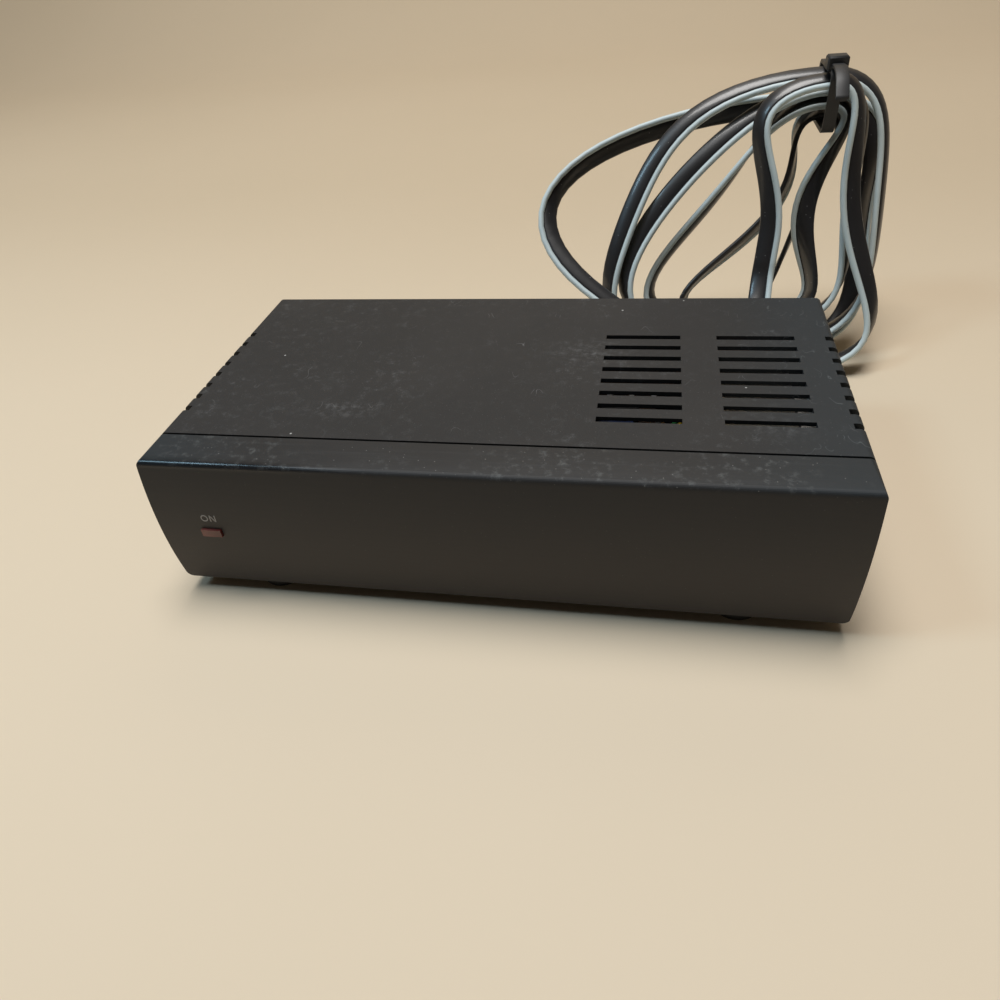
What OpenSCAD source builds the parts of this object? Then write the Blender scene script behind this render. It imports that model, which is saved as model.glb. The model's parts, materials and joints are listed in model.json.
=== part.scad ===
// Video modulator in a low steel case, with its own mains supply and a tied hank of flat lead.
// +X is to the right, +Y to the rear and +Z up. The origin is on the table, under the middle
// of the case, measured from the tip of its lamp to the ends of its aerial sockets.

/* [Case] */
// Width of the case
case_w = 160; // [158:1:170]
// Height of the case above its feet
case_h = 36.6; // [36.6:0.2:42]
// Depth of the steel cover
cover_d = 72.4; // [72:0.2:84]
// Thickness of the steel sheet
sheet_t = 1; // [0.8:0.1:1.2]
// Outer radius of the cover's two long bends
cover_bend_r = 1.6; // [1.4:0.1:2.4]
// How far the rear wall stands inside the cover's rear edge
wall_inset = 1; // [0.6:0.1:2]
// Height of the tray's side flanges
flange_h = 10; // [9:0.5:12]

/* [Front panel] */
// Depth of the moulded panel where it stands furthest forward
panel_d = 13.35; // [12.4:0.05:16]
// Radius of the panel's bowed face, seen from the side
face_r = 99.2; // [90:0.2:160]
// How far below the top the face stands furthest forward
face_drop = 21; // [18:0.5:23]
// Radius of the slight crown of the strip on top of the panel
strip_r = 160; // [140:1:300]
// Radius of the rounded edge between face and strip
brow_r = 1.2; // [0.8:0.1:1.8]
// Radius of the face's lower corners
panel_corner_r = 1.6; // [1.2:0.1:2.4]
// Wall thickness of the panel
panel_wall = 2.2; // [1.8:0.1:2.5]
// Width of the groove between panel and cover
groove_w = 0.65; // [0.4:0.05:1]
// How far the panel's lip reaches under the cover
lip_l = 4; // [3:0.5:5]
// Thickness of the lip
lip_t = 1.5; // [1.2:0.1:1.8]
// Distance from the case's side to each screwed tab
tab_from_side = 40; // [38:1:44]
// Width of each tab
tab_w = 10; // [9:0.5:12]
// Thickness of each tab
tab_t = 2; // [1.6:0.1:2.4]
// Number of upright ribs behind the face
rib_count = 3; // [2:1:5]

/* [Vents] */
// Number of slots in each column, and of notches on each side
vent_count = 8; // [6:1:8]
// Distance from one slot to the next
vent_pitch = 5.5; // [5:0.1:5.6]
// Width of a slot
vent_w = 2; // [1.6:0.1:2.4]
// Length of a slot
vent_l = 19; // [16:0.5:20]
// From the cover's rear edge to the rearmost slot
vent_rear = 22.2; // [20:0.2:24]
// From the case's side to the right column of slots
vent_from_side = 9.8; // [8:0.2:12]
// Distance between the two columns
vent_column_pitch = 28; // [26:0.5:32]
// How far a notch reaches in over the top
notch_in = 2.5; // [2:0.1:4]
// How far a notch runs down the side
notch_drop = 14; // [10:0.5:16]

/* [Lamp] */
// Width of the lamp's lens
lamp_w = 5; // [4.5:0.1:5.5]
// Height of the lamp's lens
lamp_h = 2; // [1.8:0.1:2.4]
// How far the lens stands out of the face
lamp_stand = 0.6; // [0.4:0.1:1]
// Length of the lamp behind the face
lamp_l = 6.4; // [6:0.2:8]
// From the case's side to the lamp
lamp_from_side = 13.8; // [12:0.2:16]
// From the case's top to the lamp
lamp_drop = 19.2; // [17:0.2:21]
// Thickness of a lamp lead
lamp_lead_t = 0.5; // [0.4:0.05:0.6]
// Distance between the lamp's two leads
lamp_lead_pitch = 2.54; // [2.54:0.01:2.6]
// Wall of the clip that holds the lamp
clip_wall = 1.6; // [1.2:0.1:2]

/* [Feet] */
// Height of a rubber foot
foot_h = 3.8; // [3.4:0.1:5]
// Radius of a foot where it meets the case
foot_r = 6; // [5:0.25:7]
// How much smaller its radius is on the table
foot_taper = 0.5; // [0.3:0.1:1]
// From the case's side to a foot's middle
foot_from_side = 23; // [20:0.5:26]
// From the groove forward to the front feet
foot_front = 4.6; // [4:0.2:5.6]
// From the cover's rear edge to the rear feet
foot_rear = 10; // [9:0.5:10.5]
// Radius of the stem that holds a foot
foot_stem_r = 2; // [1.6:0.1:2.2]

/* [Circuit board] */
// Thickness of the board
board_t = 1.6; // [1.2:0.1:2]
// Height of the pillars under the board
pillar_h = 5; // [4:0.5:6]
// Radius of a pillar over its corners
pillar_r = 2.9; // [2.6:0.1:3.1]
// From the groove to the board's front edge
board_from_groove = 13; // [12:0.5:14]
// From the board's edges to the middles of its screws
board_inset = 4; // [3.5:0.25:4.5]

/* [Fasteners] */
// Radius of an M3 screw
screw_r = 1.5; // [1.4:0.05:1.6]
// Radius of its pan head
screw_head_r = 2.8; // [2.6:0.1:3]
// Height of its pan head
screw_head_h = 1.6; // [1.4:0.1:2]

/* [Radio stage] */
// Depth of the shielding can
can_d = 26; // [22:0.5:28]
// Height of the shielding can
can_h = 20; // [19:0.5:21]
// Thickness of the can's tinplate
can_t = 0.6; // [0.5:0.05:0.8]
// Height of the sockets' axis above the board
socket_axis_h = 10; // [9.5:0.1:10.4]
// How far the aerial sockets stand behind the cover's rear edge
socket_reach = 9; // [8:0.25:10]
// Radius of an aerial socket's threaded barrel
barrel_r = 4.76; // [4.7:0.02:4.8]
// Radius of the socket's plain shank under its nut
shank_r = 4.5; // [4.4:0.02:4.56]
// Radius of the bore in the barrel
barrel_bore_r = 3.4; // [3.2:0.05:3.6]
// Distance between the two aerial sockets
aerial_pitch = 18; // [17.5:0.25:19]
// Width of the hexagon nuts across their corners
nut_corners = 12.8; // [12.6:0.1:13.2]
// Thickness of a hexagon nut
nut_t = 2.4; // [2:0.1:2.8]
// Thickness of a washer
washer_t = 0.5; // [0.4:0.05:0.7]
// Number of coils in the can
coil_count = 3; // [2:1:3]

/* [Sound and picture jacks] */
// Distance from one jack to the next
jack_pitch = 13; // [12.5:0.1:13.4]
// Outer radius of a jack's barrel
jack_r = 4.15; // [4.1:0.01:4.2]
// Thickness of the jack's barrel
jack_wall = 0.5; // [0.45:0.05:0.6]
// How much thinner the barrel is where it passes the rear wall
jack_neck = 0.2; // [0.1:0.05:0.25]
// How far the jacks stand behind the cover's rear edge
jack_reach = 7; // [6:0.25:8]
// Depth of the moulded block that carries the jacks
jack_block_d = 11; // [10:0.5:12]
// Height of the block
jack_block_h = 19; // [17:0.5:20]
// Radius of the hole in a jack's insulator
jack_hole_r = 2.05; // [2:0.05:2.1]
// Wall of the spring sleeve in the hole
jack_sleeve_t = 0.3; // [0.2:0.05:0.4]

/* [Channel switch] */
// Travel of the knob between channels 3 and 4
switch_travel = 3; // [2.5:0.1:3.5]
// Width of the knob
knob_w = 4; // [3.6:0.1:4.4]
// Height of the knob
knob_h = 3.6; // [3.2:0.1:4]
// How far the knob stands out of the rear wall
knob_stand = 3; // [2.5:0.1:3.5]
// Width of the switch's fixing plate
switch_plate_w = 23; // [22:0.2:24]
// Height of the fixing plate and of the switch's box
switch_h = 7.4; // [7:0.1:8]
// Depth of the switch's box
switch_d = 6.5; // [6:0.1:7]

/* [Transformer] */
// Length of the core along the case's depth
core_l = 35; // [34:0.5:36]
// Height of the core
core_h = 29.5; // [28:0.25:29.5]
// Thickness of the stack of laminations
core_t = 18; // [16:0.5:19]
// How far the windings stand out of the stack on each side
winding_bulge = 6; // [5:0.25:6.5]
// From the groove to the middle of the core
core_from_groove = 33; // [32:0.5:35]
// From the tray's side to the middle of the core
core_from_side = 17.8; // [17.4:0.2:19]
// Thickness of the strap over the core
strap_t = 1; // [0.8:0.1:1.2]
// Width of the strap
strap_w = 16; // [14:0.5:17]
// Length of each ear of the strap
ear_l = 8; // [7.6:0.2:9]

/* [Power supply] */
// Radius of each of the two big filter capacitors
filter_r = 6.3; // [5.5:0.1:6.4]
// Height of the filter capacitors
filter_h = 20; // [16:0.5:22]
// Width of the heat sink
sink_w = 24; // [20:0.5:24]
// Height of the heat sink
sink_h = 18; // [16:0.5:22]
// Number of fins on the heat sink
fin_count = 5; // [4:1:6]
// Length of the glass fuse
fuse_l = 20; // [19:0.5:21]
// Radius of the glass fuse's caps
fuse_r = 2.6; // [2.5:0.05:2.65]

/* [Flat lead] */
// Width of the flat lead
lead_w = 7.2; // [6.4:0.1:7.2]
// Thickness of the flat lead
lead_t = 2; // [1.7:0.05:2]
// From the case's right side to the strain relief
relief_from_side = 12; // [11:0.5:13]
// Length of the strain relief's tapered sleeve
relief_l = 20; // [20:0.5:22]
// Radius of the sleeve where it leaves the case
relief_r = 5.4; // [5:0.1:5.6]
// Distance between the blades of the plug
blade_pitch = 12.7; // [12.5:0.1:12.9]
// Length of the blades outside the plug
blade_l = 17.5; // [16:0.5:18.5]

/* [Hidden] */
$fn = 48;

// Clearances: a loose fit, a sliding fit between flat sheets, a close fit on threads
fit = 0.3;
slide_fit = 0.2;
close_fit = 0.1;
// How far a cut runs past what it cuts
over = 1;

// Depth: the tip of the lamp, the face, the groove, the cover's rear edge and the rear wall
tip_y = -(lamp_stand + panel_d + cover_d + socket_reach) / 2;
face_y = tip_y + lamp_stand;
groove_y = face_y + panel_d;
rear_y = groove_y + cover_d;
wall_y = rear_y - wall_inset;
inner_y = wall_y - sheet_t;
panel_back_y = groove_y - groove_w;

// Height: the case's underside, the tray's floor, the case's top and the cover's underside
base_z = foot_h;
floor_z = base_z + sheet_t;
top_z = base_z + case_h;
ceiling_z = top_z - sheet_t;
board_z = floor_z + pillar_h;
board_top = board_z + board_t;
socket_z = board_top + socket_axis_h;

// Width: inside the cover, outside and inside the tray
cover_in = case_w / 2 - sheet_t;
tray_x = cover_in - slide_fit;
tray_in = tray_x - sheet_t;

// Front panel
corner_steps = 5;
face_steps = 20;
face_c = [face_y + face_r, top_z - face_drop];
strip_c = [groove_y, top_z - strip_r];
rib_t = 1.4;
boss_r = 3.2;
boss_h = 7;
boss_from_groove = 6.5;
tab_root = 5;
tab_reach = 10;
panel_screw_l = 6;

// Lamp
lamp_x = lamp_from_side - case_w / 2;
lamp_z = top_z - lamp_drop;
lamp_hole_fit = 0.15;
lamp_flange = 0.5;
lamp_flange_t = 0.8;
lamp_bend_in = 3;
clip_l = 4;

// Feet
foot_stem_l = 2;
foot_spots = [for (side = [-1, 1], y = [groove_y - foot_front, rear_y - foot_rear])
    [side * (case_w / 2 - foot_from_side), y]];

// Cover and its screws
cover_screw_z = base_z + flange_h / 2 + sheet_t / 2;
cover_screw_front = 20;
cover_screw_rear = 12;
cover_screw_ys = [groove_y + cover_screw_front, rear_y - cover_screw_rear];
cover_screw_l = 3;

// Transformer
core_x = tray_in - core_from_side;
core_y = groove_y + core_from_groove;
winding_x = core_t / 2 + winding_bulge;
leg_w = core_l / 3;
outer_leg_w = leg_w / 2;
window_w = (core_l - leg_w - 2 * outer_leg_w) / 2;
yoke_h = outer_leg_w;
window_h = core_h - 2 * yoke_h;
bobbin_wall = 0.8;
bobbin_fit = 0.2;
ear_hole_r = screw_r + slide_fit;
ear_y = core_l / 2 + strap_t + ear_l / 2;
transformer_screw_l = strap_t + sheet_t;

// Circuit board and what stands on it
board_side_gap = 2.3;
board_gap = 5;
board_x0 = -tray_in + board_side_gap;
board_x1 = core_x - winding_x - board_gap;
board_y0 = groove_y + board_from_groove;
board_y1 = inner_y - board_side_gap;
board_screw_l = 5;
board_spots = [
    [board_x0 + board_inset, board_y0 + board_inset],
    [board_x1 - board_inset, board_y0 + board_inset],
    [board_x0 + board_inset, board_y1 - board_inset],
    [board_x1 - board_inset, inner_y - jack_block_d - 2 * board_inset]
];
leg_r = 0.4;

// Radio stage
can_side = 9;
can_from_board = 9.5;
aerial_x = board_x0 + can_from_board + can_side;
tv_x = aerial_x + aerial_pitch;
socket_xs = [aerial_x, tv_x];
flange_t = 1.2;
flange_r = 6.2;
can_x0 = aerial_x - can_side;
can_x1 = tv_x + can_side;
can_y1 = inner_y - flange_t;
can_y0 = can_y1 - can_d;
thread_relief = 0.5;
barrel_y = wall_y + washer_t + nut_t + thread_relief;
lid_drop = 3;
stub_r = 3;
stub_l = 2;
bore_depth = 8;
insulator_short = 1;
pin_hole_r = 0.6;
washer_r = 7;
coil_r = 2.5;
coil_h = 9;
coil_core_r = 1.2;

// Sound and picture jacks
jack_from_can = 1.5;
jack_side = 7.5;
jack_xs = [for (i = [0:2]) can_x1 + jack_from_can + jack_side + i * jack_pitch];
jack_flange_r = 5.2;
jack_flange_t = 1;
jack_block_y = inner_y - jack_flange_t;
jack_barrel_y = wall_y + thread_relief;
jack_bore_r = jack_r - jack_wall;
insulator_r = jack_bore_r - slide_fit;
insulator_recess = 1.5;
jack_hole_d = 8;
sleeve_l = 6;

// Channel switch
switch_x = (jack_xs[2] + jack_side + board_x1) / 2;
plate_t = 0.6;
switch_wall = 0.5;
slider_w = 7.5;
slider_h = switch_h - 2 * switch_wall - 2 * fit;
switch_box_w = slider_w + switch_travel + 2 * fit + 2 * switch_wall;
switch_base_t = 1.2;
slot_fit = 0.4;
knob_x = switch_x - switch_travel / 2;
switch_screw_from_edge = 2.5;
switch_screw_r = 1.1;
switch_head_r = 2.1;
switch_head_h = 1.2;
switch_pin_t = 0.6;
switch_pin_pitch = 2.5;
switch_spots = [for (side = [-1, 1])
    switch_x + side * (switch_plate_w / 2 - switch_screw_from_edge)];

// Power supply
sink_t = 1.8;
fin_l = 8;
fin_t = 1.2;
sink_x = board_x1 - board_gap - sink_w / 2 + sink_t;
sink_from_front = 20.6;
sink_y = board_y0 + sink_from_front;
regulator_w = 10;
regulator_tab_t = 1.3;
regulator_tab_h = 15.5;
regulator_body_t = 4.4;
regulator_body_h = 9;
regulator_leg_h = 2.5;
regulator_leg_pitch = 2.5;
regulator_leg_t = 0.7;
regulator_hole_from_top = 3;
filter_gap = 1;
filter_from_front = 1.2;
filter_y = board_y0 + filter_r + filter_from_front;
filter_xs = [for (i = [0, 1]) board_x1 - 2 * board_inset - filter_r - i * (2 * filter_r + filter_gap)];
fuse_y = sink_y + sink_t + fin_l + 2 * fuse_r + filter_gap;
fuse_side_gap = 0.7;
fuse_x = board_x1 - board_inset - screw_head_r - fuse_side_gap - fuse_l / 2;
fuse_z = board_top + 2 * fuse_r;
cap_l = 5;
clip_w = 4;
clip_t = 0.6;
diode_count = 4;
diode_r = 1.35;
diode_l = 5;
diode_pitch = 4.5;
diode_lead_l = 3;
diode_gap = 0.4;
diode_reach = diode_l / 2 + diode_lead_l + leg_r;
diode_x = filter_xs[1] - filter_r - diode_gap - diode_reach;

// Small parts on the board
chip_w = 19;
chip_d = 6.4;
chip_h = 3.6;
chip_lift = 0.6;
chip_pins = 7;
chip_pin_pitch = 2.54;
chip_pin_t = 0.5;
chip_gap = 0.6;
chip_x = diode_x - diode_reach - chip_gap - chip_w / 2;
chip_from_front = 16;
chip_y = board_y0 + chip_from_front;
crystal_w = 11;
crystal_d = 4.6;
crystal_h = 13;
crystal_gap = 5;
crystal_x = chip_x - chip_w / 2 - crystal_gap - crystal_w / 2;
resistor_count = 8;
resistor_r = 1.15;
resistor_l = 6.3;
resistor_pitch = 4;
resistor_lead_l = 2;
resistor_start = 18;
ceramic_count = 5;
ceramic_r = 3;
ceramic_t = 2.4;
ceramic_pitch = 5;
ceramic_lift = 1.5;
transistor_count = 3;
transistor_r = 2.4;
transistor_h = 4.8;
transistor_lift = 3;
transistor_pitch = 8;

// Strain relief and the wires inside
relief_x = case_w / 2 - relief_from_side;
relief_z = 18;
relief_neck_r = 5;
relief_flange_r = 7;
relief_flange_t = 2;
relief_end_r = 4.2;
wire_r = 1;
wire_sides = 8;
wire_steps = 4;
wire_up = [0.1, 0.2, 1];
thin_wire_r = 0.6;
winding_wire_pitch = 4;
winding_wire_colours = ["#b9472c", "#c9a23a", "#2f6d4a"];

// Hank: six turns of the flat lead, tied where they pass over the top. Heights are above the
// table, and offsets forward are from the line where the hank stands.
hank_beside = 5;
hank_behind = 37.6;
hank_x = case_w / 2 + hank_beside;
hank_y = rear_y + hank_behind;
hank_lean = 0.4;
hank_step = 15;
hank_start = 105;
// Where each turn passes the tie: from its middle, height, offset forward
hank_tops = [
    [1, 81, 8.6],
    [0, 72, -10],
    [0, 81, 0],
    [0, 77.6, 0],
    [-0.5, 74.2, 0],
    [0.5, 70.8, -5]
];
// Where the lead passes its lowest points: from the tie's middle, height, offset forward
hank_lows = [
    [-13, 16, 8.6],
    [-9, 1.3, 9.4],
    [-11, 1.3, -4],
    [-13, 4.4, 0],
    [-21, 9.2, 0],
    [-19, 12.4, 0],
    [-39, 1.3, -14]
];
// Sides of the turns, left and right in turn: how far each bulges, how much of that is below
// the middle, how square it is, how far it comes forward, and its twist at the tie, halfway
// and at its lowest point
hank_sides = [
    [13, -12, 4.5, 0, -20, -55, -60],
    [20, 18, 5, 0, -20, -60, 0],
    [75, -34, -3.5, 7, 80, 40, 0],
    [27, 6, 4, -4, 80, 120, 0],
    [60, 10, 5, 5, -20, -55, 0],
    [29, 8, 3, 0, -20, -30, 0],
    [48, 18, 1, 2.5, -20, -55, 0],
    [25, 12, 4, 0, -20, -40, 0],
    [30, 18, 4, -4, -20, 36, 0],
    [12.5, 9, 6, 0, -20, -100, -180],
    [12.5, 17.5, 7, 0, -200, -140, -180],
    [20, 10.5, 2.5, -9, -200, -200, -180]
];
gap_reach = 16;
gap_rings = 8;

// Free stretches of the lead: from the strain relief, from the end of the hank, and from the plug
cord_steps = 4;
lead_route = [[0, 4, 0], [0.4, 9, 1.2], [1.2, 14.5, 5]];
lead_into_hank = 5;
tail_route = [[-4, 0, 0], [-20, -1.5, 0], [-36, -6, 0]];
plug_route = [[28, 9.5, -4.1], [14, 2.6, -2.6], [4, 0, 0]];

// Cable tie: its loose end is given in shares of its length and of its drop
tie_w = 3.6;
tie_t = 1.1;
tie_r = 1.6;
tie_head = [6, 5, 4];
tie_samples = 6;
tie_end_l = 14;
tie_end_drop = 6;
tie_end_shares = [[0, 0], [-0.36, 0], [-0.7, -0.33], [-1, -1]];

// Plug
plug_l = 26;
plug_w = 22;
plug_t = 11;
plug_neck_w = 12;
plug_neck_l = 9;
plug_collar_l = 2;
plug_chamfer = 1;
plug_from_side = 146;
plug_behind = 30;
blade_w = 6.4;
blade_t = 1.5;
blade_root = 3;

// Solids between two corners, upright posts, and rods along X and Y

module block(low, high) {
    translate(low) cube(high - low);
}

module post(at, r, h) {
    translate(at) cylinder(h = h, r = r);
}

module rod_x(at, r, l) {
    translate(at) rotate([0, 90, 0]) cylinder(h = l, r = r);
}

module rod_y(at, r, l) {
    translate(at) rotate([-90, 0, 0]) cylinder(h = l, r = r);
}

module prism_x(w) {
    rotate([90, 0, 90]) linear_extrude(w, center = true) children();
}

module prism_y(y0, y1) {
    translate([0, y1, 0]) rotate([90, 0, 0]) linear_extrude(y1 - y0) children();
}

// Steel cover

module arch(w, h, r) {
    translate([-w / 2, 0]) square([w, h - r]);
    translate([r - w / 2, 0]) square([w - 2 * r, h]);
    for (side = [-1, 1])
        translate([side * (w / 2 - r), h - r]) circle(r);
}

module vent_cuts() {
    for (i = [0:vent_count - 1]) {
        y1 = rear_y - vent_rear - i * vent_pitch;
        y0 = y1 - vent_w;
        for (column = [0, 1]) {
            x1 = case_w / 2 - vent_from_side - column * vent_column_pitch;
            block([x1 - vent_l, y0, ceiling_z - over], [x1, y1, top_z + over]);
        }
        for (side = [-1, 1]) {
            x0 = side * (case_w / 2 - notch_in);
            x1 = side * (case_w / 2 + over);
            block([min(x0, x1), y0, top_z - notch_drop], [max(x0, x1), y1, top_z + over]);
        }
    }
}

module top_cover() color("#33302e") difference() {
    translate([0, 0, base_z]) prism_y(groove_y, rear_y) difference() {
        arch(case_w, case_h, cover_bend_r);
        translate([0, -over])
            arch(case_w - 2 * sheet_t, case_h - sheet_t + over, cover_bend_r - sheet_t);
    }
    vent_cuts();
    for (y = cover_screw_ys)
        rod_x([-case_w, y, cover_screw_z], screw_r + fit, 2 * case_w);
}

module cover_screws() color("#2c2a29") for (side = [-1, 1], y = cover_screw_ys) {
    head_x = side * case_w / 2;
    tip_x = side * (case_w / 2 - cover_screw_l);
    rod_x([min(head_x, tip_x), y, cover_screw_z], screw_r, cover_screw_l);
    rod_x([min(head_x, head_x + side * screw_head_h), y, cover_screw_z], screw_head_r, screw_head_h);
}

// Steel tray: floor, side flanges and rear wall

module tray_openings() {
    for (at = foot_spots)
        if (at[1] > groove_y)
            post([at[0], at[1], base_z - over], foot_stem_r + fit, sheet_t + 2 * over);
    for (side = [-1, 1]) {
        post([side * (case_w / 2 - tab_from_side), groove_y + boss_from_groove, base_z - over],
            screw_r + fit, sheet_t + 2 * over);
        post([core_x, core_y + side * ear_y, base_z - over], screw_r + close_fit, sheet_t + 2 * over);
    }
    for (y = cover_screw_ys)
        rod_x([-case_w, y, cover_screw_z], screw_r + close_fit, 2 * case_w);
    for (x = socket_xs)
        rod_y([x, inner_y - over, socket_z], barrel_r + fit, sheet_t + 2 * over);
    for (x = jack_xs)
        rod_y([x, inner_y - over, socket_z], jack_r + fit, sheet_t + 2 * over);
    for (x = switch_spots)
        rod_y([x, inner_y - over, socket_z], switch_screw_r + fit, sheet_t + 2 * over);
    rod_y([relief_x, inner_y - over, relief_z], relief_neck_r + slide_fit, sheet_t + 2 * over);
    knob_slot(inner_y - over, wall_y + over);
}

module knob_slot(y0, y1) {
    half_w = knob_w / 2 + switch_travel / 2 + slot_fit;
    half_h = knob_h / 2 + slot_fit;
    block([switch_x - half_w, y0, socket_z - half_h], [switch_x + half_w, y1, socket_z + half_h]);
}

module base_tray() color("#6f6f6d") difference() {
    union() {
        block([-tray_x, panel_back_y + fit, base_z], [tray_x, wall_y, floor_z]);
        block([-tray_x, inner_y, base_z], [tray_x, wall_y, ceiling_z - slide_fit]);
        for (side = [-1, 1]) {
            x0 = min(side * tray_x, side * tray_in);
            block([x0, groove_y + lip_l + over, base_z], [x0 + sheet_t, wall_y, base_z + flange_h]);
        }
    }
    tray_openings();
}

// Moulded front panel

function on_arc(c, r, t) = c + r * [-cos(t), sin(t)];
function meet(a, ra, b, rb) =
    let (
        d = norm(b - a),
        u = (b - a) / d,
        k = (ra * ra - rb * rb + d * d) / (2 * d),
        h = sqrt(ra * ra - k * k)
    )
    a + k * u + h * [u[1], -u[0]];
function heading(c, p) = atan2(p[1] - c[1], c[0] - p[0]);
function steps(from, to, n) = [for (i = [0:n]) from + (to - from) * i / n];

function panel_outline() =
    let (
        brow_c = meet(face_c, face_r - brow_r, strip_c, strip_r - brow_r),
        bottom = asin((base_z - face_c[1]) / face_r),
        face_end = heading(face_c, brow_c),
        brow_end = heading(strip_c, brow_c),
        back = acos(groove_w / strip_r)
    )
    concat(
        [[panel_back_y, base_z]],
        [for (t = steps(bottom, face_end, face_steps)) on_arc(face_c, face_r, t)],
        [for (t = steps(face_end, brow_end, corner_steps)) on_arc(brow_c, brow_r, t)],
        [for (t = steps(brow_end, back, corner_steps)) on_arc(strip_c, strip_r, t)]
    );

function cavity_outline() =
    let (
        r = face_r - panel_wall,
        low = base_z + panel_wall,
        high = top_z - 2 * panel_wall
    )
    concat(
        [[panel_back_y + over, low]],
        [for (t = steps(asin((low - face_c[1]) / r), asin((high - face_c[1]) / r), face_steps))
            on_arc(face_c, r, t)],
        [[face_y + panel_d / 2, top_z - panel_wall], [panel_back_y + over, top_z - panel_wall]]
    );

module rounded_front() {
    r = panel_corner_r;
    top_r = cover_bend_r;
    translate([r - case_w / 2, base_z]) square([case_w - 2 * r, case_h - top_r]);
    translate([-case_w / 2, base_z + r]) square([case_w, case_h - r - top_r]);
    translate([top_r - case_w / 2, top_z - 2 * top_r]) square([case_w - 2 * top_r, 2 * top_r]);
    for (side = [-1, 1]) {
        translate([side * (case_w / 2 - r), base_z + r]) circle(r);
        translate([side * (case_w / 2 - top_r), top_z - top_r]) circle(top_r);
    }
}

module panel_lip() {
    x = cover_in - fit;
    z1 = ceiling_z - fit;
    y0 = panel_back_y - lip_t;
    y1 = groove_y + lip_l;
    block([-x, y0, z1 - lip_t], [x, y1, z1]);
    for (side = [-1, 1])
        block([side > 0 ? x - lip_t : -x, y0, floor_z + fit], [side > 0 ? x : lip_t - x, y1, z1]);
}

module panel_tabs() {
    for (side = [-1, 1]) {
        x = side * (case_w / 2 - tab_from_side);
        block([x - tab_w / 2, panel_back_y - tab_root, floor_z],
            [x + tab_w / 2, groove_y + tab_reach, floor_z + tab_t]);
        post([x, groove_y + boss_from_groove, floor_z], boss_r, boss_h);
    }
}

module panel_ribs() {
    for (i = [1:rib_count]) {
        x = case_w * (i / (rib_count + 1) - 1 / 2);
        block([x - rib_t / 2, face_y + panel_wall / 2, base_z + panel_wall / 2],
            [x + rib_t / 2, panel_back_y - lip_t, top_z - panel_wall / 2]);
    }
}

module front_panel() color("#3a3634") difference() {
    union() {
        intersection() {
            prism_x(case_w) polygon(panel_outline());
            prism_y(tip_y - over, groove_y) rounded_front();
            union() {
                difference() {
                    prism_x(2 * case_w) polygon(panel_outline());
                    prism_x(case_w - 2 * panel_wall) polygon(cavity_outline());
                }
                panel_ribs();
            }
        }
        panel_lip();
        panel_tabs();
    }
    block([lamp_x - lamp_w / 2 - lamp_hole_fit, tip_y - over, lamp_z - lamp_h / 2 - lamp_hole_fit],
        [lamp_x + lamp_w / 2 + lamp_hole_fit, groove_y, lamp_z + lamp_h / 2 + lamp_hole_fit]);
    for (side = [-1, 1])
        post([side * (case_w / 2 - tab_from_side), groove_y + boss_from_groove, floor_z - over],
            screw_r + close_fit, panel_screw_l + over);
    for (at = foot_spots)
        if (at[1] < groove_y)
            post([at[0], at[1], base_z - over], foot_stem_r + fit, panel_wall + 2 * over);
}

module panel_screws() color("#b9b8b4") for (side = [-1, 1]) {
    at = [side * (case_w / 2 - tab_from_side), groove_y + boss_from_groove];
    post([at[0], at[1], base_z - screw_head_h], screw_head_r, screw_head_h);
    post([at[0], at[1], base_z], screw_r, panel_screw_l);
}

module feet() color("#151414") for (at = foot_spots) translate([at[0], at[1], 0]) {
    cylinder(h = foot_h, r1 = foot_r - foot_taper, r2 = foot_r);
    cylinder(h = foot_h + foot_stem_l, r = foot_stem_r);
}

// Power lamp, its clip and its leads

lamp_back_y = face_y + lamp_l;
flange_y = face_y + panel_wall + fit;

module power_lamp() color("#7c2a22") {
    block([lamp_x - lamp_w / 2, tip_y, lamp_z - lamp_h / 2],
        [lamp_x + lamp_w / 2, flange_y, lamp_z + lamp_h / 2]);
    block([lamp_x - lamp_w / 2 - lamp_flange, flange_y, lamp_z - lamp_h / 2 - lamp_flange],
        [lamp_x + lamp_w / 2 + lamp_flange, flange_y + lamp_flange_t, lamp_z + lamp_h / 2 + lamp_flange]);
    block([lamp_x - lamp_w / 2, flange_y + lamp_flange_t, lamp_z - lamp_h / 2],
        [lamp_x + lamp_w / 2, lamp_back_y, lamp_z + lamp_h / 2]);
}

module lamp_clip() color("#1b1a1a") difference() {
    inner_w = lamp_w / 2 + lamp_flange + slide_fit;
    inner_h = lamp_h / 2 + lamp_flange + slide_fit;
    block([lamp_x - inner_w - clip_wall, flange_y, lamp_z - inner_h - clip_wall],
        [lamp_x + inner_w + clip_wall, flange_y + clip_l, lamp_z + inner_h + clip_wall]);
    block([lamp_x - inner_w, flange_y - over, lamp_z - inner_h],
        [lamp_x + inner_w, flange_y + lamp_flange_t, lamp_z + inner_h]);
    block([lamp_x - lamp_w / 2 - slide_fit, flange_y, lamp_z - lamp_h / 2 - slide_fit],
        [lamp_x + lamp_w / 2 + slide_fit, flange_y + clip_l + over, lamp_z + lamp_h / 2 + slide_fit]);
}

module lamp_leads() color("#c9c7c0") for (side = [-1, 1]) {
    x0 = lamp_x + side * lamp_lead_pitch / 2 - lamp_lead_t / 2;
    x1 = x0 + lamp_lead_t;
    y1 = board_y0 + lamp_bend_in;
    z0 = lamp_z - lamp_lead_t / 2;
    block([x0, lamp_back_y, z0], [x1, y1, z0 + lamp_lead_t]);
    block([x0, y1 - lamp_lead_t, board_top], [x1, y1, z0 + lamp_lead_t]);
}

// Circuit board, its pillars and screws

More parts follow.
